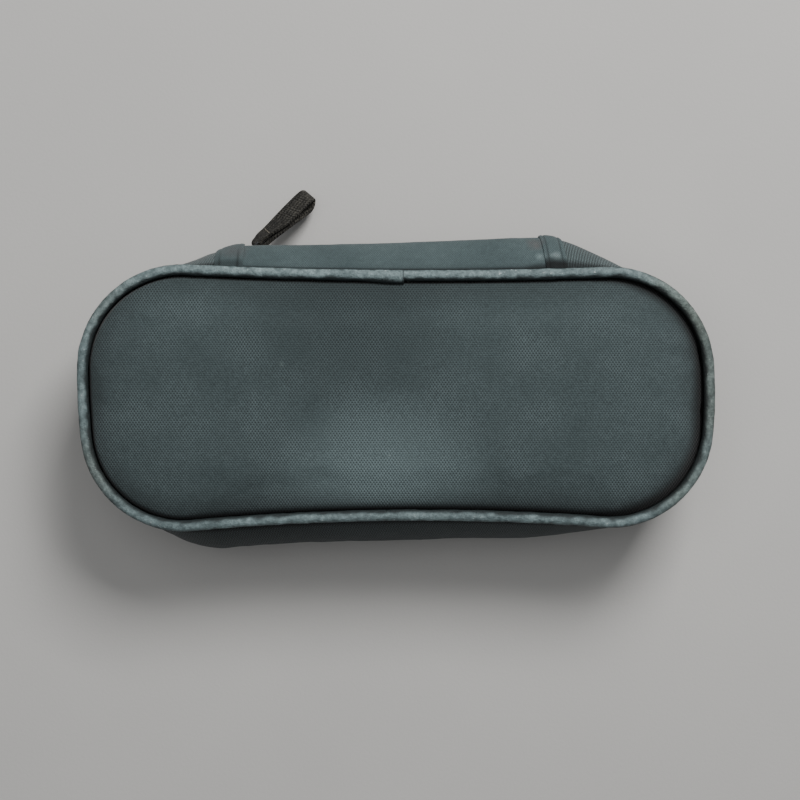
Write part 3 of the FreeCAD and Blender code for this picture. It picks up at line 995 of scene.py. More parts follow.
@dataclass
class PaddedPanel(SubAssembly):
    """A padded panel: cloth over foam, sewn down all round inside the piping."""

    name: str
    node: str
    rim_z: float
    rise: float
    crown: float
    finish: WovenFinish
    gutter: float = 0.0
    sewn_inset: float = 3.9
    edge_softness: float = 5.5
    crown_reach: float = 40.0
    rest_z: float | None = None
    around: int = 300
    rings: int = 36
    spine: float = 74.0
    spine_step: float = 2.0
    lumps: float = 0.16
    dents: tuple[Dent, ...] = ()

    def gutter_width(self, x: float, y: float) -> float:
        """Width of the gutter beside the piping, widest at the right end.

        Args:
            x: Place along the pouch.
            y: Place across it.

        Returns:
            The width, in millimetres.
        """
        right = smooth((x - 62.0) / 34.0)
        back = smooth((-y - 10.0) / 25.0)
        return 0.65 + 2.5 * right + 0.35 * back

    def painted_light_share(self, u: float, v: float) -> float:
        """Painted shade on the cloth: black in the gutter beside the piping, and a softer painted
        shade over the rim.

        Args:
            u: Share of the way round.
            v: Share of the way from the rim to the middle line.

        Returns:
            0 where it is painted black, 1 where it is unshaded.
        """
        x, y, _ = self.place(u, v)
        edge, outward = OUTLINE.station(u * OUTLINE.length())
        depth = abs(edge - outward * self.sewn_inset - complex(x, y))
        # Painted shade: black deep in the gutter, fading out across it, and softer within 12 mm of
        # the rim.
        gutter = smooth(depth / (1.5 * self.gutter_width(x, y)) - 0.15)
        return mix(0.04, 1.0, gutter) * mix(0.72, 1.0, smooth(depth / 12.0))

    def place(self, u: float, v: float) -> Point:
        """Point of the cloth, u all round and v from the rim to the middle line.

        Args:
            u: Share of the way round.
            v: Share of the way from the rim to the middle line.

        Returns:
            The point, in millimetres.
        """
        edge, outward = OUTLINE.station(u * OUTLINE.length())
        edge -= outward * self.sewn_inset
        inner_x = max(-self.spine, min(self.spine, edge.real))
        middle = complex(self.spine_step * round(inner_x / self.spine_step), 0.0)
        share = v**1.6
        spot = edge + (middle - edge) * share
        depth = abs(spot - edge)
        swell = self.rise * (1 - math.exp(-depth / self.edge_softness))
        swell += self.crown * math.sin(math.pi / 2 * min(1.0, depth / self.crown_reach))
        x, y = spot.real, spot.imag
        swell -= self.gutter * math.exp(-((depth / self.gutter_width(x, y)) ** 2))
        loose = smooth(depth / 8.0)
        swell += self.lumps * loose * (ripple(x, y, 0.0, 26.0) + 0.5 * ripple(x, y, 4.0, 9.0))
        z = self.rim_z + swell
        if self.rest_z is not None:
            z = max(z, self.rest_z)
        return x, y, z

    def dent(self, piece: bpy.types.Object) -> None:
        """Press the listed folds and dimples into the cloth."""
        for vertex in piece.data.vertices:
            place = vertex.co / MM
            for dent in self.dents:
                across = ((place.x - dent.x) / dent.long) ** 2
                across += ((place.y - dent.y) / dent.wide) ** 2
                vertex.co.z -= dent.deep * MM * math.exp(-across)

    def build(self) -> bpy.types.Object:
        """Make, stuff and dress the panel.

        Returns:
            The finished piece.
        """
        piece = mapped_grid(self.name, self.around, self.rings, self.place,
                            (OUTLINE.length(), 40.0), shade_of=self.painted_light_share)
        weld(piece, 0.05)
        if self.rise > 0:
            face_upwards(piece)
            stuff(piece, self.rim_z + 0.3, grow=0.004, cap=0.8)
        self.dent(piece)
        apply_modifier(piece, "SOLIDIFY", thickness=0.8 * MM, offset=-1.0)
        shade(piece, 60.0)
        self.fit(piece, self.finish, "panel_fabric", self.node, body="pouch")
        return piece


@dataclass
class Filling(SubAssembly):
    """Foam that lies just under a panel's cloth."""

    name: str
    node: str
    panel: PaddedPanel
    gap: float = 1.0
    floor_z: float = 43.05
    turn: float = 0.6
    rim: float = 0.06

    def place(self, u: float, v: float) -> Point:
        """Point of the foam, u all round and v over the top, then back underneath.

        Args:
            u: Share of the way round.
            v: Share of the way over the top and back underneath.

        Returns:
            The point, in millimetres.
        """
        if v <= self.turn:
            x, y, z = self.panel.place(u, mix(1.0, self.rim, v / self.turn))
            return x, y, max(z - self.gap, self.floor_z)
        x, y, _ = self.panel.place(u, mix(self.rim, 1.0, (v - self.turn) / (1 - self.turn)))
        return x, y, self.floor_z

    def build(self) -> bpy.types.Object:
        """Make and dress the foam.

        Returns:
            The finished piece.
        """
        piece = mapped_grid(self.name, 160, 40, self.place, (OUTLINE.length(), 80.0))
        weld(piece, 0.05)
        shade(piece, 50.0)
        return self.fit(piece, FOAM, "foam", self.node, body="pouch")


def face_upwards(piece: bpy.types.Object) -> None:
    """Turn an open sheet over if its faces look down."""
    total = sum(face.normal.z for face in piece.data.polygons)
    if total < 0:
        in_edit_mode(piece, lambda: bpy.ops.mesh.flip_normals())


def stuff(piece: bpy.types.Object, rim_z: float, grow: float, cap: float) -> None:
    """Blow cloth up over its foam by simulation, with its rim held.

    Args:
        piece: The open sheet.
        rim_z: Height below which the cloth is held, in millimetres.
        grow: How much larger the cloth is than its seat.
        cap: Farthest that a point may move, in millimetres.
    """
    start = [vertex.co.copy() for vertex in piece.data.vertices]
    held = piece.vertex_groups.new(name="held")
    rim = [v.index for v in piece.data.vertices if v.co.z < rim_z * MM]
    held.add(rim, 1.0, "REPLACE")
    select_only(piece)
    modifier = piece.modifiers.new("cloth", "CLOTH")
    cloth = modifier.settings
    cloth.quality = 6
    cloth.mass = 0.3
    cloth.tension_stiffness = 18.0
    cloth.compression_stiffness = 18.0
    cloth.shear_stiffness = 6.0
    cloth.bending_stiffness = 0.4
    cloth.vertex_group_mass = "held"
    cloth.use_pressure = True
    cloth.uniform_pressure_force = 4.0
    cloth.shrink_min = -grow
    cloth.effector_weights.gravity = 0.0
    scene = bpy.context.scene
    for number in range(1, 21):
        scene.frame_set(number)
    stuffed = piece.evaluated_get(bpy.context.evaluated_depsgraph_get())
    places = [vertex.co.copy() for vertex in stuffed.data.vertices]
    piece.modifiers.remove(modifier)
    scene.frame_set(1)
    for vertex, before, after in zip(piece.data.vertices, start, places):
        move = (after - before) * 0.7
        move.z = max(move.z, -0.1 * MM)
        if move.length > cap * MM:
            move *= cap * MM / move.length
        vertex.co = before + move
    piece.vertex_groups.remove(held)


@dataclass
class Piping(SubAssembly):
    """Leatherette tube sewn along one panel's edge, its ends lapped at a joint."""

    name: str
    node: str
    z: float
    finish: LeatheretteFinish
    radius: float = 1.9
    joint_x: float = 2.6
    lap: float = 5.0
    along: int = 640
    round: int = 20
    lumps: float = 0.14
    # Share of a turn where the tube faces the light and gets no painted shade.
    lit_side_at: float = 0.15
    lap_reach: float = 19.0
    lap_swell: float = 0.3
    tail_reach: float = 8.0
    tail_shrink: float = 0.12

    def place(self, u: float, v: float) -> Point:
        """Point of the tube, u along it from the joint and v round it.

        Args:
            u: Share of the tube's length.
            v: Share of a turn round it.

        Returns:
            The point, in millimetres.
        """
        run = OUTLINE.length() + self.lap
        start = OUTLINE.mouth_distance(self.joint_x)
        distance = u * run
        point, outward = OUTLINE.station(start + distance)
        angle = v * 2 * math.pi
        lapped = 1 - smooth(distance / self.lap_reach)
        tail = 1 - smooth((run - distance) / self.tail_reach)
        thick = 1.03 + self.lap_swell * lapped - self.tail_shrink * tail
        x, y = point.real, point.imag
        dirt = self.lumps * (ripple(x, y, angle, 5.0) + 0.6 * ripple(x, y, 3 * angle, 1.7))
        reach = self.radius * thick + dirt
        spot = point - outward * (self.radius + 0.05 + 0.5 * lapped - reach * math.cos(angle))
        return spot.real, spot.imag, self.z + reach * math.sin(angle)

    def painted_light_share(self, u: float, v: float) -> float:
        """Painted light on the tube: its side towards the light stays bright, its inner side gets
        painted shade, and it darkens at the lapped cut end.

        Args:
            u: Share of the tube's length.
            v: Share of a turn round it.

        Returns:
            0 where it is black with dirt, 1 where it is clean.
        """
        x, y, _ = self.place(u, v)
        # Painted shade on the side of the tube turned from the light; the tube also darkens at the
        # lapped cut end.
        turned = math.cos((v - self.lit_side_at) * 2 * math.pi)
        side = smooth((turned - 0.15 + 0.35 * ripple(x, y, 4 * v, 3.0)) / 0.65)
        cut = smooth(u * OUTLINE.length() / 0.9)
        return side * mix(0.1, 1.0, cut)

    def build(self) -> bpy.types.Object:
        """Make and dress the tube, with both ends closed.

        Returns:
            The finished piece.
        """
        size = (OUTLINE.length(), 2 * math.pi * self.radius)
        piece = mapped_grid(self.name, self.along, self.round, self.place, size,
                            shade_of=self.painted_light_share)
        in_edit_mode(
            piece,
            lambda: bpy.ops.mesh.remove_doubles(threshold=0.01 * MM),
            lambda: bpy.ops.mesh.fill_holes(sides=self.round + 2),
            lambda: bpy.ops.mesh.normals_make_consistent(inside=False),
        )
        shade(piece, 50.0)
        return self.fit(piece, self.finish, "piping", self.node, body="pouch")


@dataclass
class Gusset(SubAssembly):
    """A strip round both ends and the back, from one end of the zip to the other."""

    name: str
    nodes: tuple[str, ...]
    finish: WovenFinish
    slot: str
    sunk: float = 0.0
    around: int = 330
    up: int = 30
    thickness: float = 1.1
    last_x: float = 53.3
    cloth: tuple[float, float] = (425.0, 42.0)
    mouth_from_y: float = 20.0
    mouth_half_length: float = 88.0

    def painted_light_share(self, u: float, v: float) -> float:
        """Painted shade on the strip: darker over the back, which lies in shade, and black close
        under the piping.

        Args:
            u: Share of the way round.
            v: Share of the height.

        Returns:
            0 where it is painted black, 1 where it is unshaded.
        """
        _, y, _ = self.place(u, v)
        # Painted shade over the back and in the hollow under the piping.
        back = smooth((-y - 36.0) / 8.0)
        return mix(1.0, 0.45, back) * mix(1.0, 0.15, smooth((v - 0.93) / 0.05))

    def place(self, u: float, v: float) -> Point:
        """Point of the strip, u round from the right end of the zip and v upwards.

        Args:
            u: Share of the way round.
            v: Share of the height.

        Returns:
            The point, in millimetres.
        """
        start = OUTLINE.mouth_distance(WALLS.zip_left)
        stop = OUTLINE.length() + OUTLINE.mouth_distance(self.last_x)
        point, outward = OUTLINE.station(mix(start, stop, u))
        z = mix(WALLS.bottom, WALLS.top, v)
        x, y = point.real, point.imag
        edge = math.sin(math.pi * v)
        crease = 0.35 * ripple(x, y, z, 14.0) + 0.2 * ripple(x, y, 2 * z, 5.0)
        if y > self.mouth_from_y and abs(x) < self.mouth_half_length:
            return x, WALLS.mouth(x, z) - self.sunk + 0.5 * crease * edge, z
        spot = point - outward * (WALLS.inset + self.sunk - crease * edge - 0.3 * edge)
        if y < 0:
            spot -= 1j * WALLS.back_swell(x) * math.sin(math.pi * v) ** 0.8
        return spot.real, spot.imag, z

    def build(self) -> bpy.types.Object:
        """Make and dress the strip.

        Returns:
            The finished piece.
        """
        piece = mapped_grid(self.name, self.around, self.up, self.place, self.cloth,
                            shade_of=self.painted_light_share)
        apply_modifier(piece, "SOLIDIFY", thickness=self.thickness * MM, offset=-1.0)
        shade(piece, 60.0)
        return self.fit(piece, self.finish, self.slot, *self.nodes, body="pouch")


class Side(Enum):
    """Which side of the zip line a piece is on."""

    UPPER = 1
    LOWER = -1


@dataclass
class ZipPanel(SubAssembly):
    """The zip between its two cloth bands; the upper half lifts to open the mouth."""

    middle_x: float = -4.5
    bend_left: tuple[float, float] = (-44.0, -14.0)
    bend_right: tuple[float, float] = (6.0, 35.0)
    edge: float = 5.4
    section_points: int = 22
    cell: float = 1.1
    wall_shares: tuple[float, ...] = (1.0, 0.93, 0.82, 0.68, 0.54, 0.42, 0.34)
    hem: tuple[tuple[float, float], ...] = ((1.75, 0.25), (1.1, 0.0), (0.6, 0.6), (0.55, 2.0))
    tape_reach: tuple[float, float] = (1.6, 7.3)
    cloth_thickness: float = 0.5
    tooth: Point = (0.68, 1.9, 3.3)
    tooth_bevel: float = 0.28
    tooth_reach: float = 1.05
    tooth_pitch: float = 1.5
    coil_left: float = -53.5
    coil_end_gap: float = 1.3
    stitch_pitch: float = 2.8
    stitch_reach: float = 6.0
    band_right: float = 53.4

    def section(self, x: float, side: Side) -> list[Vector]:
        """Cross-section of a band, from the piping to its edge folded in over the tape.

        Args:
            x: Place along the pouch.
            side: Which side of the zip line the band is on.

        Returns:
            Evenly spaced points, all with an x of 0.
        """
        heights = [WALLS.zip_z + side.value * (WALLS.top - WALLS.zip_z) * share
                   for share in self.wall_shares]
        points = [(0.0, WALLS.mouth(x, z), z) for z in heights]
        for off_tape, past_edge in self.hem:
            z = WALLS.zip_z + side.value * (self.edge + past_edge)
            points.append((0.0, WALLS.zip_y + off_tape, z))
        return along_curve(points, self.section_points)

    def band(self, name: str, from_x: float, to_x: float, side: Side) -> bpy.types.Object:
        """One stretch of cloth band beside the zip.

        Args:
            name: Name of the piece.
            from_x: Where the stretch starts.
            to_x: Where it ends.
            side: Which side of the zip line it is on.

        Returns:
            The mesh object, not yet dressed.
        """
        cells = round((to_x - from_x) / self.cell)
        sections = []
        for number in range(cells + 1):
            x = mix(from_x, to_x, number / cells)
            sections.append((x, self.section(x, side)))

        def place(u: float, v: float) -> Point:
            """Point of the band, u along the pouch and v from the piping to the hem.

            Args:
                u: Share of the way along the pouch.
                v: Share of the way from the piping to the hem.

            Returns:
                The point, in millimetres.
            """
            x, points = sections[round(u * cells)]
            point = points[round(v * (self.section_points - 1))]
            loose = math.sin(math.pi * min(1.0, v * 1.25))
            fold = 0.22 * ripple(x, point.z, side.value * 3.0, 12.0)
            fold += 0.12 * ripple(x, point.z, side.value * 9.0, 4.0)
            return x, point.y + fold * max(0.0, loose), point.z

        def painted_light_share(u: float, v: float) -> float:
            """Painted shade on the band: black in the hollow under the piping.

            Args:
                u: Share of the way along the pouch.
                v: Share of the way from the piping to the hem.

            Returns:
                0 where it is painted black, 1 where it is unshaded.
            """
            # Painted shade under the piping, in a wider strip towards the right end.
            hollow = smooth((mix(from_x, to_x, u) - 44.0) / 6.0)
            edge = mix(0.05, 0.1, hollow)
            return mix(0.08, 1.0, smooth((v - 0.055) / edge))

        piece = mapped_grid(name, cells, self.section_points - 1, place, (to_x - from_x, 30.0),
                            flip=side is Side.LOWER, shade_of=painted_light_share)
        apply_modifier(piece, "SOLIDIFY", thickness=self.cloth_thickness * MM, offset=-1.0)
        shade(piece, 60.0)
        return piece

    def tape(self, name: str, from_x: float, to_x: float, side: Side) -> bpy.types.Object:
        """One stretch of woven zip tape.

        Args:
            name: Name of the piece.
            from_x: Where the stretch starts.
            to_x: Where it ends.
            side: Which side of the zip line it is on.

        Returns:
            The mesh object, not yet dressed.
        """
        cells = round((to_x - from_x) / 2.0)

        def place(u: float, v: float) -> Point:
            """Point of the tape, u along the pouch and v away from the zip line."""
            reach = mix(*self.tape_reach, v)
            return mix(from_x, to_x, u), WALLS.zip_y, WALLS.zip_z + side.value * reach

        piece = mapped_grid(name, cells, 6, place, (to_x - from_x, 6.0), flip=side is Side.LOWER)
        apply_modifier(piece, "SOLIDIFY", thickness=self.cloth_thickness * MM, offset=0.0)
        return piece

    def coil(self, name: str, from_x: float, to_x: float, side: Side) -> bpy.types.Object:
        """Nylon teeth along one tape: one is modelled and the rest are copies.

        Args:
            name: Name of the piece.
            from_x: Where the stretch starts.
            to_x: Where it ends.
            side: Which side of the zip line it is on.

        Returns:
            The mesh object, not yet dressed.
        """
        shift = self.tooth_pitch / 2 if side is Side.LOWER else 0.0
        first = math.ceil((from_x - shift) / self.tooth_pitch)
        last = math.floor((to_x - shift) / self.tooth_pitch)
        centre = WALLS.zip_z + side.value * self.tooth_reach
        bpy.ops.object.select_all(action="DESELECT")
        bpy.ops.mesh.primitive_cube_add(size=1.0)
        tooth = bpy.context.active_object
        tooth.scale = Vector(self.tooth) * MM
        settle(tooth)
        apply_modifier(tooth, "BEVEL", width=self.tooth_bevel * MM, segments=2)
        teeth = []
        for number in range(first, last + 1):
            copy = tooth.copy()
            copy.data = tooth.data.copy()
            x = number * self.tooth_pitch + shift
            copy.data.transform(Matrix.Translation(Vector((x, WALLS.zip_y, centre)) * MM))
            bpy.context.collection.objects.link(copy)
            teeth.append(copy)
        bpy.data.objects.remove(tooth)
        piece = joined(name, teeth)
        shade(piece, 40.0)
        return piece

    def row(self, name: str, from_x: float, to_x: float, side: Side) -> bpy.types.Object:
        """One stretch of the stitches that hold a band's fold to the tape.

        Args:
            name: Name of the piece.
            from_x: Where the stretch starts.
            to_x: Where it ends.
            side: Which side of the zip line it is on.

        Returns:
            The mesh object, not yet dressed.
        """
        count = round((to_x - from_x) / self.stitch_pitch)
        stitches = []
        for number in range(count):
            x = mix(from_x, to_x, (number + 0.5) / count)
            z = WALLS.zip_z + side.value * self.stitch_reach
            curve = self.section(x, side)
            fold = min(range(len(curve)), key=lambda k: abs(curve[k].z - WALLS.zip_z))
            nearest = min(curve[: fold + 1], key=lambda p: abs(p.z - z))
            stitches.append((Vector((x, nearest.y + 0.12, nearest.z)), Vector((1, 0, 0))))
        return threads(name, stitches, self.stitch_pitch * 0.75, 0.4)

    def half(self, layer: Callable[..., bpy.types.Object], stem: str, finish: object, slot: str,
             left_x: float, right_x: float, *nodes: str) -> None:
        """Build an upper layer as two halves that meet at the middle.

        Args:
            layer: Method that makes one stretch of the layer.
            stem: What both names start with.
            finish: Finish of both halves.
            slot: The record's material slot.
            left_x: Left end of the layer.
            right_x: Right end of the layer.
            nodes: CAD nodes that both halves replace.
        """
        left = layer(f"{stem}_left", left_x, self.middle_x, Side.UPPER)
        self.fit(left, finish, slot, *nodes)
        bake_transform(left)
        right = layer(f"{stem}_right", self.middle_x, right_x, Side.UPPER)
        self.fit(right, finish, slot, *nodes)
        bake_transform(right)

    def build(self) -> None:
        """Make every layer of the zip panel."""
        left, right = WALLS.zip_left, WALLS.zip_right
        coil_left, coil_right = self.coil_left, right - self.coil_end_gap
        self.half(self.band, "upper_band", BAND_CLOTH, "band_fabric", left, self.band_right,
                  "upper_zip_band", "upper_band_ends")
        self.half(self.tape, "upper_tape", ZIP_TAPE, "zip_tape", left, right,
                  "upper_zip_tape", "upper_tape_ends")
        self.half(self.coil, "upper_coil", NYLON_COIL, "zip_coil", coil_left, coil_right,
                  "upper_zip_coil", "upper_coil_ends")
        self.half(self.row, "upper_band_stitches", STITCH_THREAD, "stitching", left + 1, right - 1)
        self.fit(self.row("lower_band_stitches", left + 1, right - 1, Side.LOWER),
                 STITCH_THREAD, "stitching", body="pouch")
        self.fit(self.band("lower_band", left, self.band_right, Side.LOWER), BAND_CLOTH,
                 "band_fabric", "lower_zip_band", body="pouch")
        self.fit(self.tape("lower_tape", left, right, Side.LOWER), ZIP_TAPE, "zip_tape",
                 "lower_zip_tape", body="pouch")
        self.fit(self.coil("lower_coil", coil_left, coil_right, Side.LOWER), NYLON_COIL,
                 "zip_coil", "lower_zip_coil", body="pouch")


def joined(name: str, parts: Sequence[bpy.types.Object]) -> bpy.types.Object:
    """Join mesh objects into one named piece.

    Args:
        name: Name of the piece.
        parts: The objects, each with its own mesh.

    Returns:
        The one object left.
    """
    bpy.ops.object.select_all(action="DESELECT")
    for part in parts:
        part.select_set(True)
    bpy.context.view_layer.objects.active = parts[0]
    if len(parts) > 1:
        bpy.ops.object.join()
    piece = bpy.context.active_object
    piece.name = name
    piece.data.name = name
    return piece


def threads(name: str, stitches: Sequence[tuple[Vector, Vector]], length: float,
            thickness: float) -> bpy.types.Object:
    """Sewing stitches: one is modelled and the rest are copies.

    Args:
        name: Name of the piece.
        stitches: Middle and direction of each stitch, in millimetres.
        length: Length of one stitch.
        thickness: Thickness of the thread.

    Returns:
        All stitches as one mesh.
    """
    bpy.ops.object.select_all(action="DESELECT")
    bpy.ops.mesh.primitive_uv_sphere_add(segments=8, ring_count=6, radius=0.5)
    stitch = bpy.context.active_object
    stitch.scale = (thickness * MM, thickness * MM, length * MM)
    settle(stitch)
    copies = []
    for middle, ahead in stitches:
        copy = stitch.copy()
        copy.data = stitch.data.copy()
        turn = ahead.to_track_quat("Z", "Y").to_matrix().to_4x4()
        copy.data.transform(Matrix.Translation(middle * MM) @ turn)
        bpy.context.collection.objects.link(copy)
        copies.append(copy)
    bpy.data.objects.remove(stitch)
    piece = joined(name, copies)
    shade(piece, 60.0)
    return piece


@dataclass
class SeamTab(SubAssembly):
    """Doubled cloth sewn over one end of the zip with two rows of stitches."""

    name: str
    from_x: float
    to_x: float
    # dark_from is where painted shade in the seams starts; hollow is how dark the painted shade
    # under the piping gets.
    dark_from: float
    hollow: float
    groove: float
    notch: float = 0.0
    slant: float = 0.0
    proud: float = 0.1
    rows: tuple[float, float] = (0.16, 0.82)
    stitch_pitch: float = 2.6
    tuck: float = 0.3

    def spread(self, u: float, z: float) -> float:
        """X of the tab at a share of its width and a height.

        Args:
            u: Share of the tab's width.
            z: Height.

        Returns:
            X, in millimetres.
        """
        near_zip = 1 - smooth((abs(z - WALLS.zip_z) - 5.0) / 4.0)
        x = mix(self.from_x, self.to_x - self.notch * near_zip, u)
        return x + self.slant * (max(z, WALLS.zip_z) - 33.0)

    def place(self, u: float, v: float) -> Point:
        """Point of the tab, u along the pouch and v upwards.

        Args:
            u: Share of the tab's width.
            v: Share of its height.

        Returns:
            The point, in millimetres.
        """
        z = mix(WALLS.bottom - self.tuck, WALLS.top + self.tuck, v)
        x = self.spread(u, z)
        puff = self.proud * math.sin(math.pi * u) ** 0.5
        puff -= self.tuck * (1 - smooth(min(u, 1 - u) / 0.1))
        for row in self.rows:
            puff -= self.groove * math.exp(-(((u - row) / 0.06) ** 2))
        puff += 0.12 * ripple(x, z, 5.0, 5.0)
        return x, WALLS.mouth(x, z) + puff, z

    def painted_light_share(self, u: float, v: float) -> float:
        """Painted shade on the tab: in its seam grooves above a given height, and in the hollow
        under the piping.

        Args:
            u: Share of the tab's width.
            v: Share of its height.

        Returns:
            0 where it is painted black, 1 where it is unshaded.
        """
        # Painted shade in the seam grooves from dark_from upwards, and under the piping.
        seams = sum(math.exp(-(((u - row) / 0.05) ** 2)) for row in self.rows)
        high = mix(1.0, 0.35, smooth((v - self.dark_from) / 0.2))
        return mix(1.0, high, min(1.0, seams)) * mix(1.0, self.hollow, smooth((v - 0.925) / 0.04))

    def build(self) -> bpy.types.Object:
        """Make and dress the tab and its stitches.

        Returns:
            The finished piece.
        """
        piece = mapped_grid(self.name, 28, 56, self.place, (self.to_x - self.from_x, 42.0),
                            shade_of=self.painted_light_share)
        apply_modifier(piece, "SOLIDIFY", thickness=0.7 * MM, offset=-1.0)
        shade(piece, 50.0)
        stitches = []
        count = round((WALLS.top - WALLS.bottom - 2.0) / self.stitch_pitch)
        for row in self.rows:
            for number in range(count):
                v = (number + 0.5) / count
                middle = Vector(self.place(row, v)) + Vector((0, 0.12, 0))
                ahead = Vector(self.place(row, v + 0.01)) - Vector(self.place(row, v - 0.01))
                stitches.append((middle, ahead.normalized()))
        sewing = threads(f"{self.name}_stitches", stitches, self.stitch_pitch * 0.75, 0.42)
        self.fit(sewing, STITCH_THREAD, "stitching", body="pouch")
        return self.fit(piece, BAND_CLOTH, "band_fabric", body="pouch")


@dataclass
class PullTape(SubAssembly):
    """Woven tape folded round the link's far bar, its two plies apart towards the tip."""

    droop: float = 38.0
    reach: float = 33.0
    leaning: float = 2.2
    root_width: float = 4.3
    tip_width: float = 6.9
    thickness: float = 0.9
    root_tilt: float = -50.0
    tip_tilt: float = -36.0
    link_wire: float = 0.45
    stitched_at: tuple[float, float] = (0.08, 0.855)
    stitch_count: int = 4
    cells: int = 140
    plies: tuple[tuple[float, float], ...] = ((0.0, 1.0), (0.07, 1.5), (0.2, 1.2), (0.45, 1.0),
                                              (0.62, 1.5), (0.85, 2.1), (0.96, 1.6))

    def build(self) -> bpy.types.Object:
        """Make and dress the loop and its stitches.

        Returns:
            The finished piece.
        """
        low, high = (Vector(corner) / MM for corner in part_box("pull_link"))
        wire = Vector((self.link_wire, self.link_wire, 0))
        middle_z = Vector((0, 0, (low.z + high.z) / 2))
        root = high.to_2d().to_3d() - wire + middle_z
        start = low.to_2d().to_3d() + wire + middle_z
        level = (root - start).normalized()
        level.rotate(Matrix.Rotation(math.radians(-self.leaning), 3, "Z"))
        droop = math.radians(self.droop)
        ahead = level * math.cos(droop) - Vector((0, 0, math.sin(droop)))
        up = level * math.sin(droop) + Vector((0, 0, math.cos(droop)))
        side = Vector((-level.y, level.x, 0))
        path = [(share * self.reach, gap) for share, gap in self.plies]
        path.append((self.reach, 0.0))
        path += [(share * self.reach, -gap) for share, gap in reversed(self.plies)]
        path += [(-1.2, -0.75), (-1.9, 0.0), (-1.2, 0.75), path[0]]
        curve = along_curve([(a, g, 0.0) for a, g in path], self.cells + 1)

        def place(u: float, v: float) -> Point:
            """Point of the loop, u along the tape and v across it.

            Args:
                u: Share of the loop's length.
                v: Share of the tape's width.

            Returns:
                The point, in millimetres.
            """
            spot = curve[round(u * self.cells)]
            share = min(1.0, max(0.0, spot.x / self.reach))
            tilt = math.radians(mix(self.root_tilt, self.tip_tilt, smooth(share / 0.6)))
            wide = side * math.cos(tilt) + Vector((0, 0, math.sin(tilt)))
            thick = ahead.cross(wide).normalized()
            width = mix(self.root_width, self.tip_width, smooth(share / 0.5))
            width *= 1 - 0.3 * max(0.0, (share - 0.9) / 0.1) ** 2
            ridge = 0.28 * (1 if round(u * self.cells) % 2 else -1) if v in (0.0, 1.0) else 0.0
            across = (v - 0.5) * width + math.copysign(ridge, v - 0.5)
            sag = up * (0.8 * math.sin(math.pi * share))
            return tuple(root + ahead * spot.x + sag + thick * spot.y + wide * across)

        piece = mapped_grid("pull_tape_loop", self.cells, 10, place,
                            (2.2 * self.reach, self.tip_width))
        weld(piece, 0.02)
        apply_modifier(piece, "SOLIDIFY", thickness=self.thickness * MM, offset=0.0)
        shade(piece, 50.0)
        stitches = []
        near, far = self.stitched_at
        across = (Vector(place(near, 0.9)) - Vector(place(near, 0.1))).normalized()
        for number in range(self.stitch_count):
            v = (number + 1) / (self.stitch_count + 1)
            outer = Vector(place(near, v))
            inner = Vector(place(far, v))
            out = (outer - inner).normalized() * (self.thickness / 2)
            stitches += [(outer + out, across), (inner - out, across)]
        sewing = threads("pull_stitches", stitches, 0.9, 0.35)
        self.fit(sewing, PULL_THREAD, "stitching", body="pull_tape")
        return self.fit(piece, PULL_WEBBING, "pull_webbing", "pull_tape", body="pull_tape")


@dataclass
class InnerCloth(SubAssembly):
    """Flat cloth sewn down inside the pouch, loose between its seams."""

    name: str
    node: str
    finish: WovenFinish
    slot: str
    first_seam: float
    seam_pitch: float
    slack: float
    one_edge_held: bool = False

    def build(self) -> bpy.types.Object:
        """Make and dress the cloth.

        Returns:
            The finished piece.
        """
        low, high = (Vector(corner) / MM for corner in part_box(self.node))

        def place(u: float, v: float) -> Point:
            """Point of the cloth, u along the pouch and v towards its mouth.

            Args:
                u: Share of the way along the pouch.
                v: Share of the way towards the mouth.

            Returns:
                The point, in millimetres.
            """
            x, y = mix(low.x, high.x, u), mix(low.y, high.y, v)
            inner = min(max(x, self.first_seam), -self.first_seam)
            loose = abs(math.sin(math.pi * (inner - self.first_seam) / self.seam_pitch)) ** 0.7
            if self.one_edge_held:
                loose *= math.sin(math.pi * v / 2)
            wave = 0.3 * ripple(x, y, 0.0, 9.0)
            return x, y, (low.z + high.z) / 2 + (self.slack + wave) * loose

        piece = mapped_grid(self.name, 132, 24, place, (high.x - low.x, high.y - low.y))
        apply_modifier(piece, "SOLIDIFY", thickness=(high.z - low.z) * MM, offset=0.0)
        shade(piece, 50.0)
        return self.fit(piece, self.finish, self.slot, self.node, body="pouch")


class CarriedNodes:
    """CAD nodes whose shape is right: they stay, with better materials."""

    def build(self) -> None:
        """Dress every node that no piece replaces by its record slot."""
        slots = {part["node"]: part["material_slot"] for part in frame["record"]["subparts"]}
        for node, slot in slots.items():
            finish = NODE_FINISHES.get(slot)
            if finish is not None and node not in SubAssembly.replaced:
                dress(frame["nodes"][node], material_of(finish))
                log.info("%s keeps its shape", node)


# ---------------------------------------------------------------- studio


@dataclass(frozen=True)
class Lamp:
    """A soft square light that looks at the pouch, with its place and size in metres."""

    name: str
    place: Point
    size: float
    energy: float

    def build(self) -> None:
        """Hang the light."""
        bpy.ops.object.light_add(type="AREA", location=self.place)
        lamp = bpy.context.active_object
        lamp.name = self.name
        lamp.data.size = self.size
        lamp.data.energy = self.energy
        lamp.rotation_euler = Vector(self.place).to_track_quat("Z", "Y").to_euler()


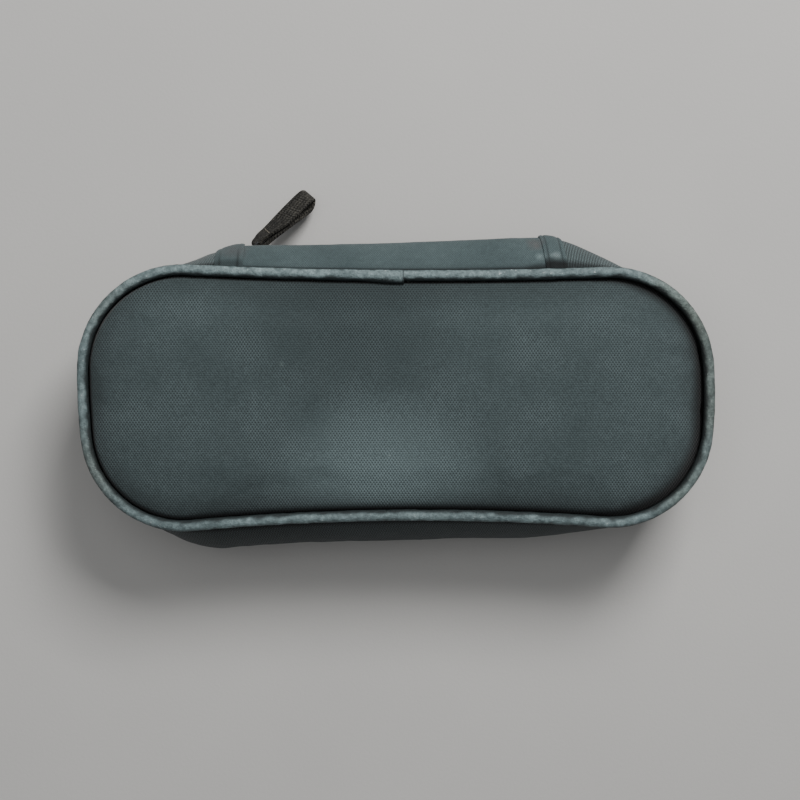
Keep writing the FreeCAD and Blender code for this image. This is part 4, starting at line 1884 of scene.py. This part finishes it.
@dataclass(frozen=True)
class Studio:
    """Pale floor, soft light from the upper right and a camera straight above, in metres."""

    camera: Point = (0.0012, -0.0007, 0.645)
    view_width: float = 0.2788
    view_level: float = 0.045
    sensor: float = 36.0
    floor_size: float = 1.6
    floor_tones: tuple[Colour, Colour] = ((0.4, 0.39, 0.375), (0.45, 0.44, 0.42))
    floor_roughness: float = 0.8
    lamps: tuple[Lamp, ...] = (Lamp("key", (0.3, 0.62, 0.8), 0.4, 13.5),
                               Lamp("fill", (-0.2, 0.15, 1.1), 0.8, 3.0))
    sky_colour: Colour = (0.93, 0.96, 1.0)
    sky_strength: float = 0.26

    def lay_floor(self) -> None:
        """Plain pale floor."""
        bpy.ops.object.select_all(action="DESELECT")
        bpy.ops.mesh.primitive_plane_add(size=self.floor_size)
        floor = bpy.context.active_object
        floor.name = "floor"
        graph = Graph("floor", Coordinates.OBJECT)
        dark, light = self.floor_tones
        tone = graph.blend(graph.noise(90.0, 3.0), rgba(dark), rgba(light))
        graph.bump(graph.noise(1.2, 2.0), 0.05)
        dress(floor, graph.finish(tone, self.floor_roughness))

    def set_camera(self) -> None:
        """Camera that looks straight down on the pouch's upper edge."""
        data = bpy.data.cameras.new("camera")
        camera = bpy.data.objects.new("camera", data)
        bpy.context.scene.collection.objects.link(camera)
        camera.location = self.camera
        data.sensor_width = self.sensor
        data.lens = self.sensor * (self.camera[2] - self.view_level) / self.view_width
        data.clip_start = 0.01
        bpy.context.scene.camera = camera

    def light_sky(self) -> None:
        """Even light from all round."""
        world = bpy.data.worlds.new("studio")
        bpy.context.scene.world = world
        world.use_nodes = True
        sky = world.node_tree.nodes["Background"]
        sky.inputs["Color"].default_value = rgba(self.sky_colour)
        sky.inputs["Strength"].default_value = self.sky_strength

    def build(self) -> None:
        """Set the scene up."""
        self.set_camera()
        self.lay_floor()
        for lamp in self.lamps:
            lamp.build()
        self.light_sky()


def main() -> None:
    """Build every sub-assembly in order."""
    logging.basicConfig(level=logging.INFO, format="%(message)s")
    Studio().build()
    top = PaddedPanel("top_panel", "top_cover", rim_z=44.5, rise=4.3, crown=1.1,
                      finish=PANEL_CLOTH, gutter=1.9, dents=TOP_DENTS)
    top.build()
    Filling("top_filling", "top_foam", top).build()
    PaddedPanel("base_panel", "base_cover", rim_z=3.6, rise=-4.3, crown=-0.4,
                finish=BASE_CLOTH, sewn_inset=3.3, rest_z=0.02, lumps=0.0).build()
    Piping("upper_piping", "upper_piping_cover", UPPER_PIPING_Z, UPPER_PIPING_SKIN).build()
    Piping("lower_piping", "lower_piping_cover", LOWER_PIPING_Z, LOWER_PIPING_SKIN).build()
    Gusset("gusset_strip", ("left_gusset", "back_gusset", "right_gusset"), GUSSET_CLOTH,
           "gusset_fabric").build()
    Gusset("gusset_lining_strip", ("gusset_lining",), LINING_CLOTH, "lining", sunk=1.35,
           thickness=0.4).build()
    ZipPanel().build()
    SeamTab("left_seam_tab", from_x=-63.6, to_x=-54.0, dark_from=0.78, hollow=0.5,
            groove=0.12, notch=4.3).build()
    SeamTab("right_seam_tab", from_x=50.6, to_x=57.8, dark_from=0.4, hollow=0.08,
            groove=0.3, slant=0.2).build()
    PullTape().build()
    InnerCloth("pocket_net", "mesh_pocket", MESH_NET, "mesh", first_seam=-66.0,
               seam_pitch=132.0, slack=-1.4, one_edge_held=True).build()
    InnerCloth("pocket_hem", "pocket_binding", BINDING_TAPE, "binding", first_seam=-66.0,
               seam_pitch=132.0, slack=-1.4).build()
    InnerCloth("cable_strap", "elastic_strap", ELASTIC_WEBBING, "elastic", first_seam=-62.5,
               seam_pitch=25.0, slack=1.6).build()
    CarriedNodes().build()


if __name__ == "__main__":
    main()
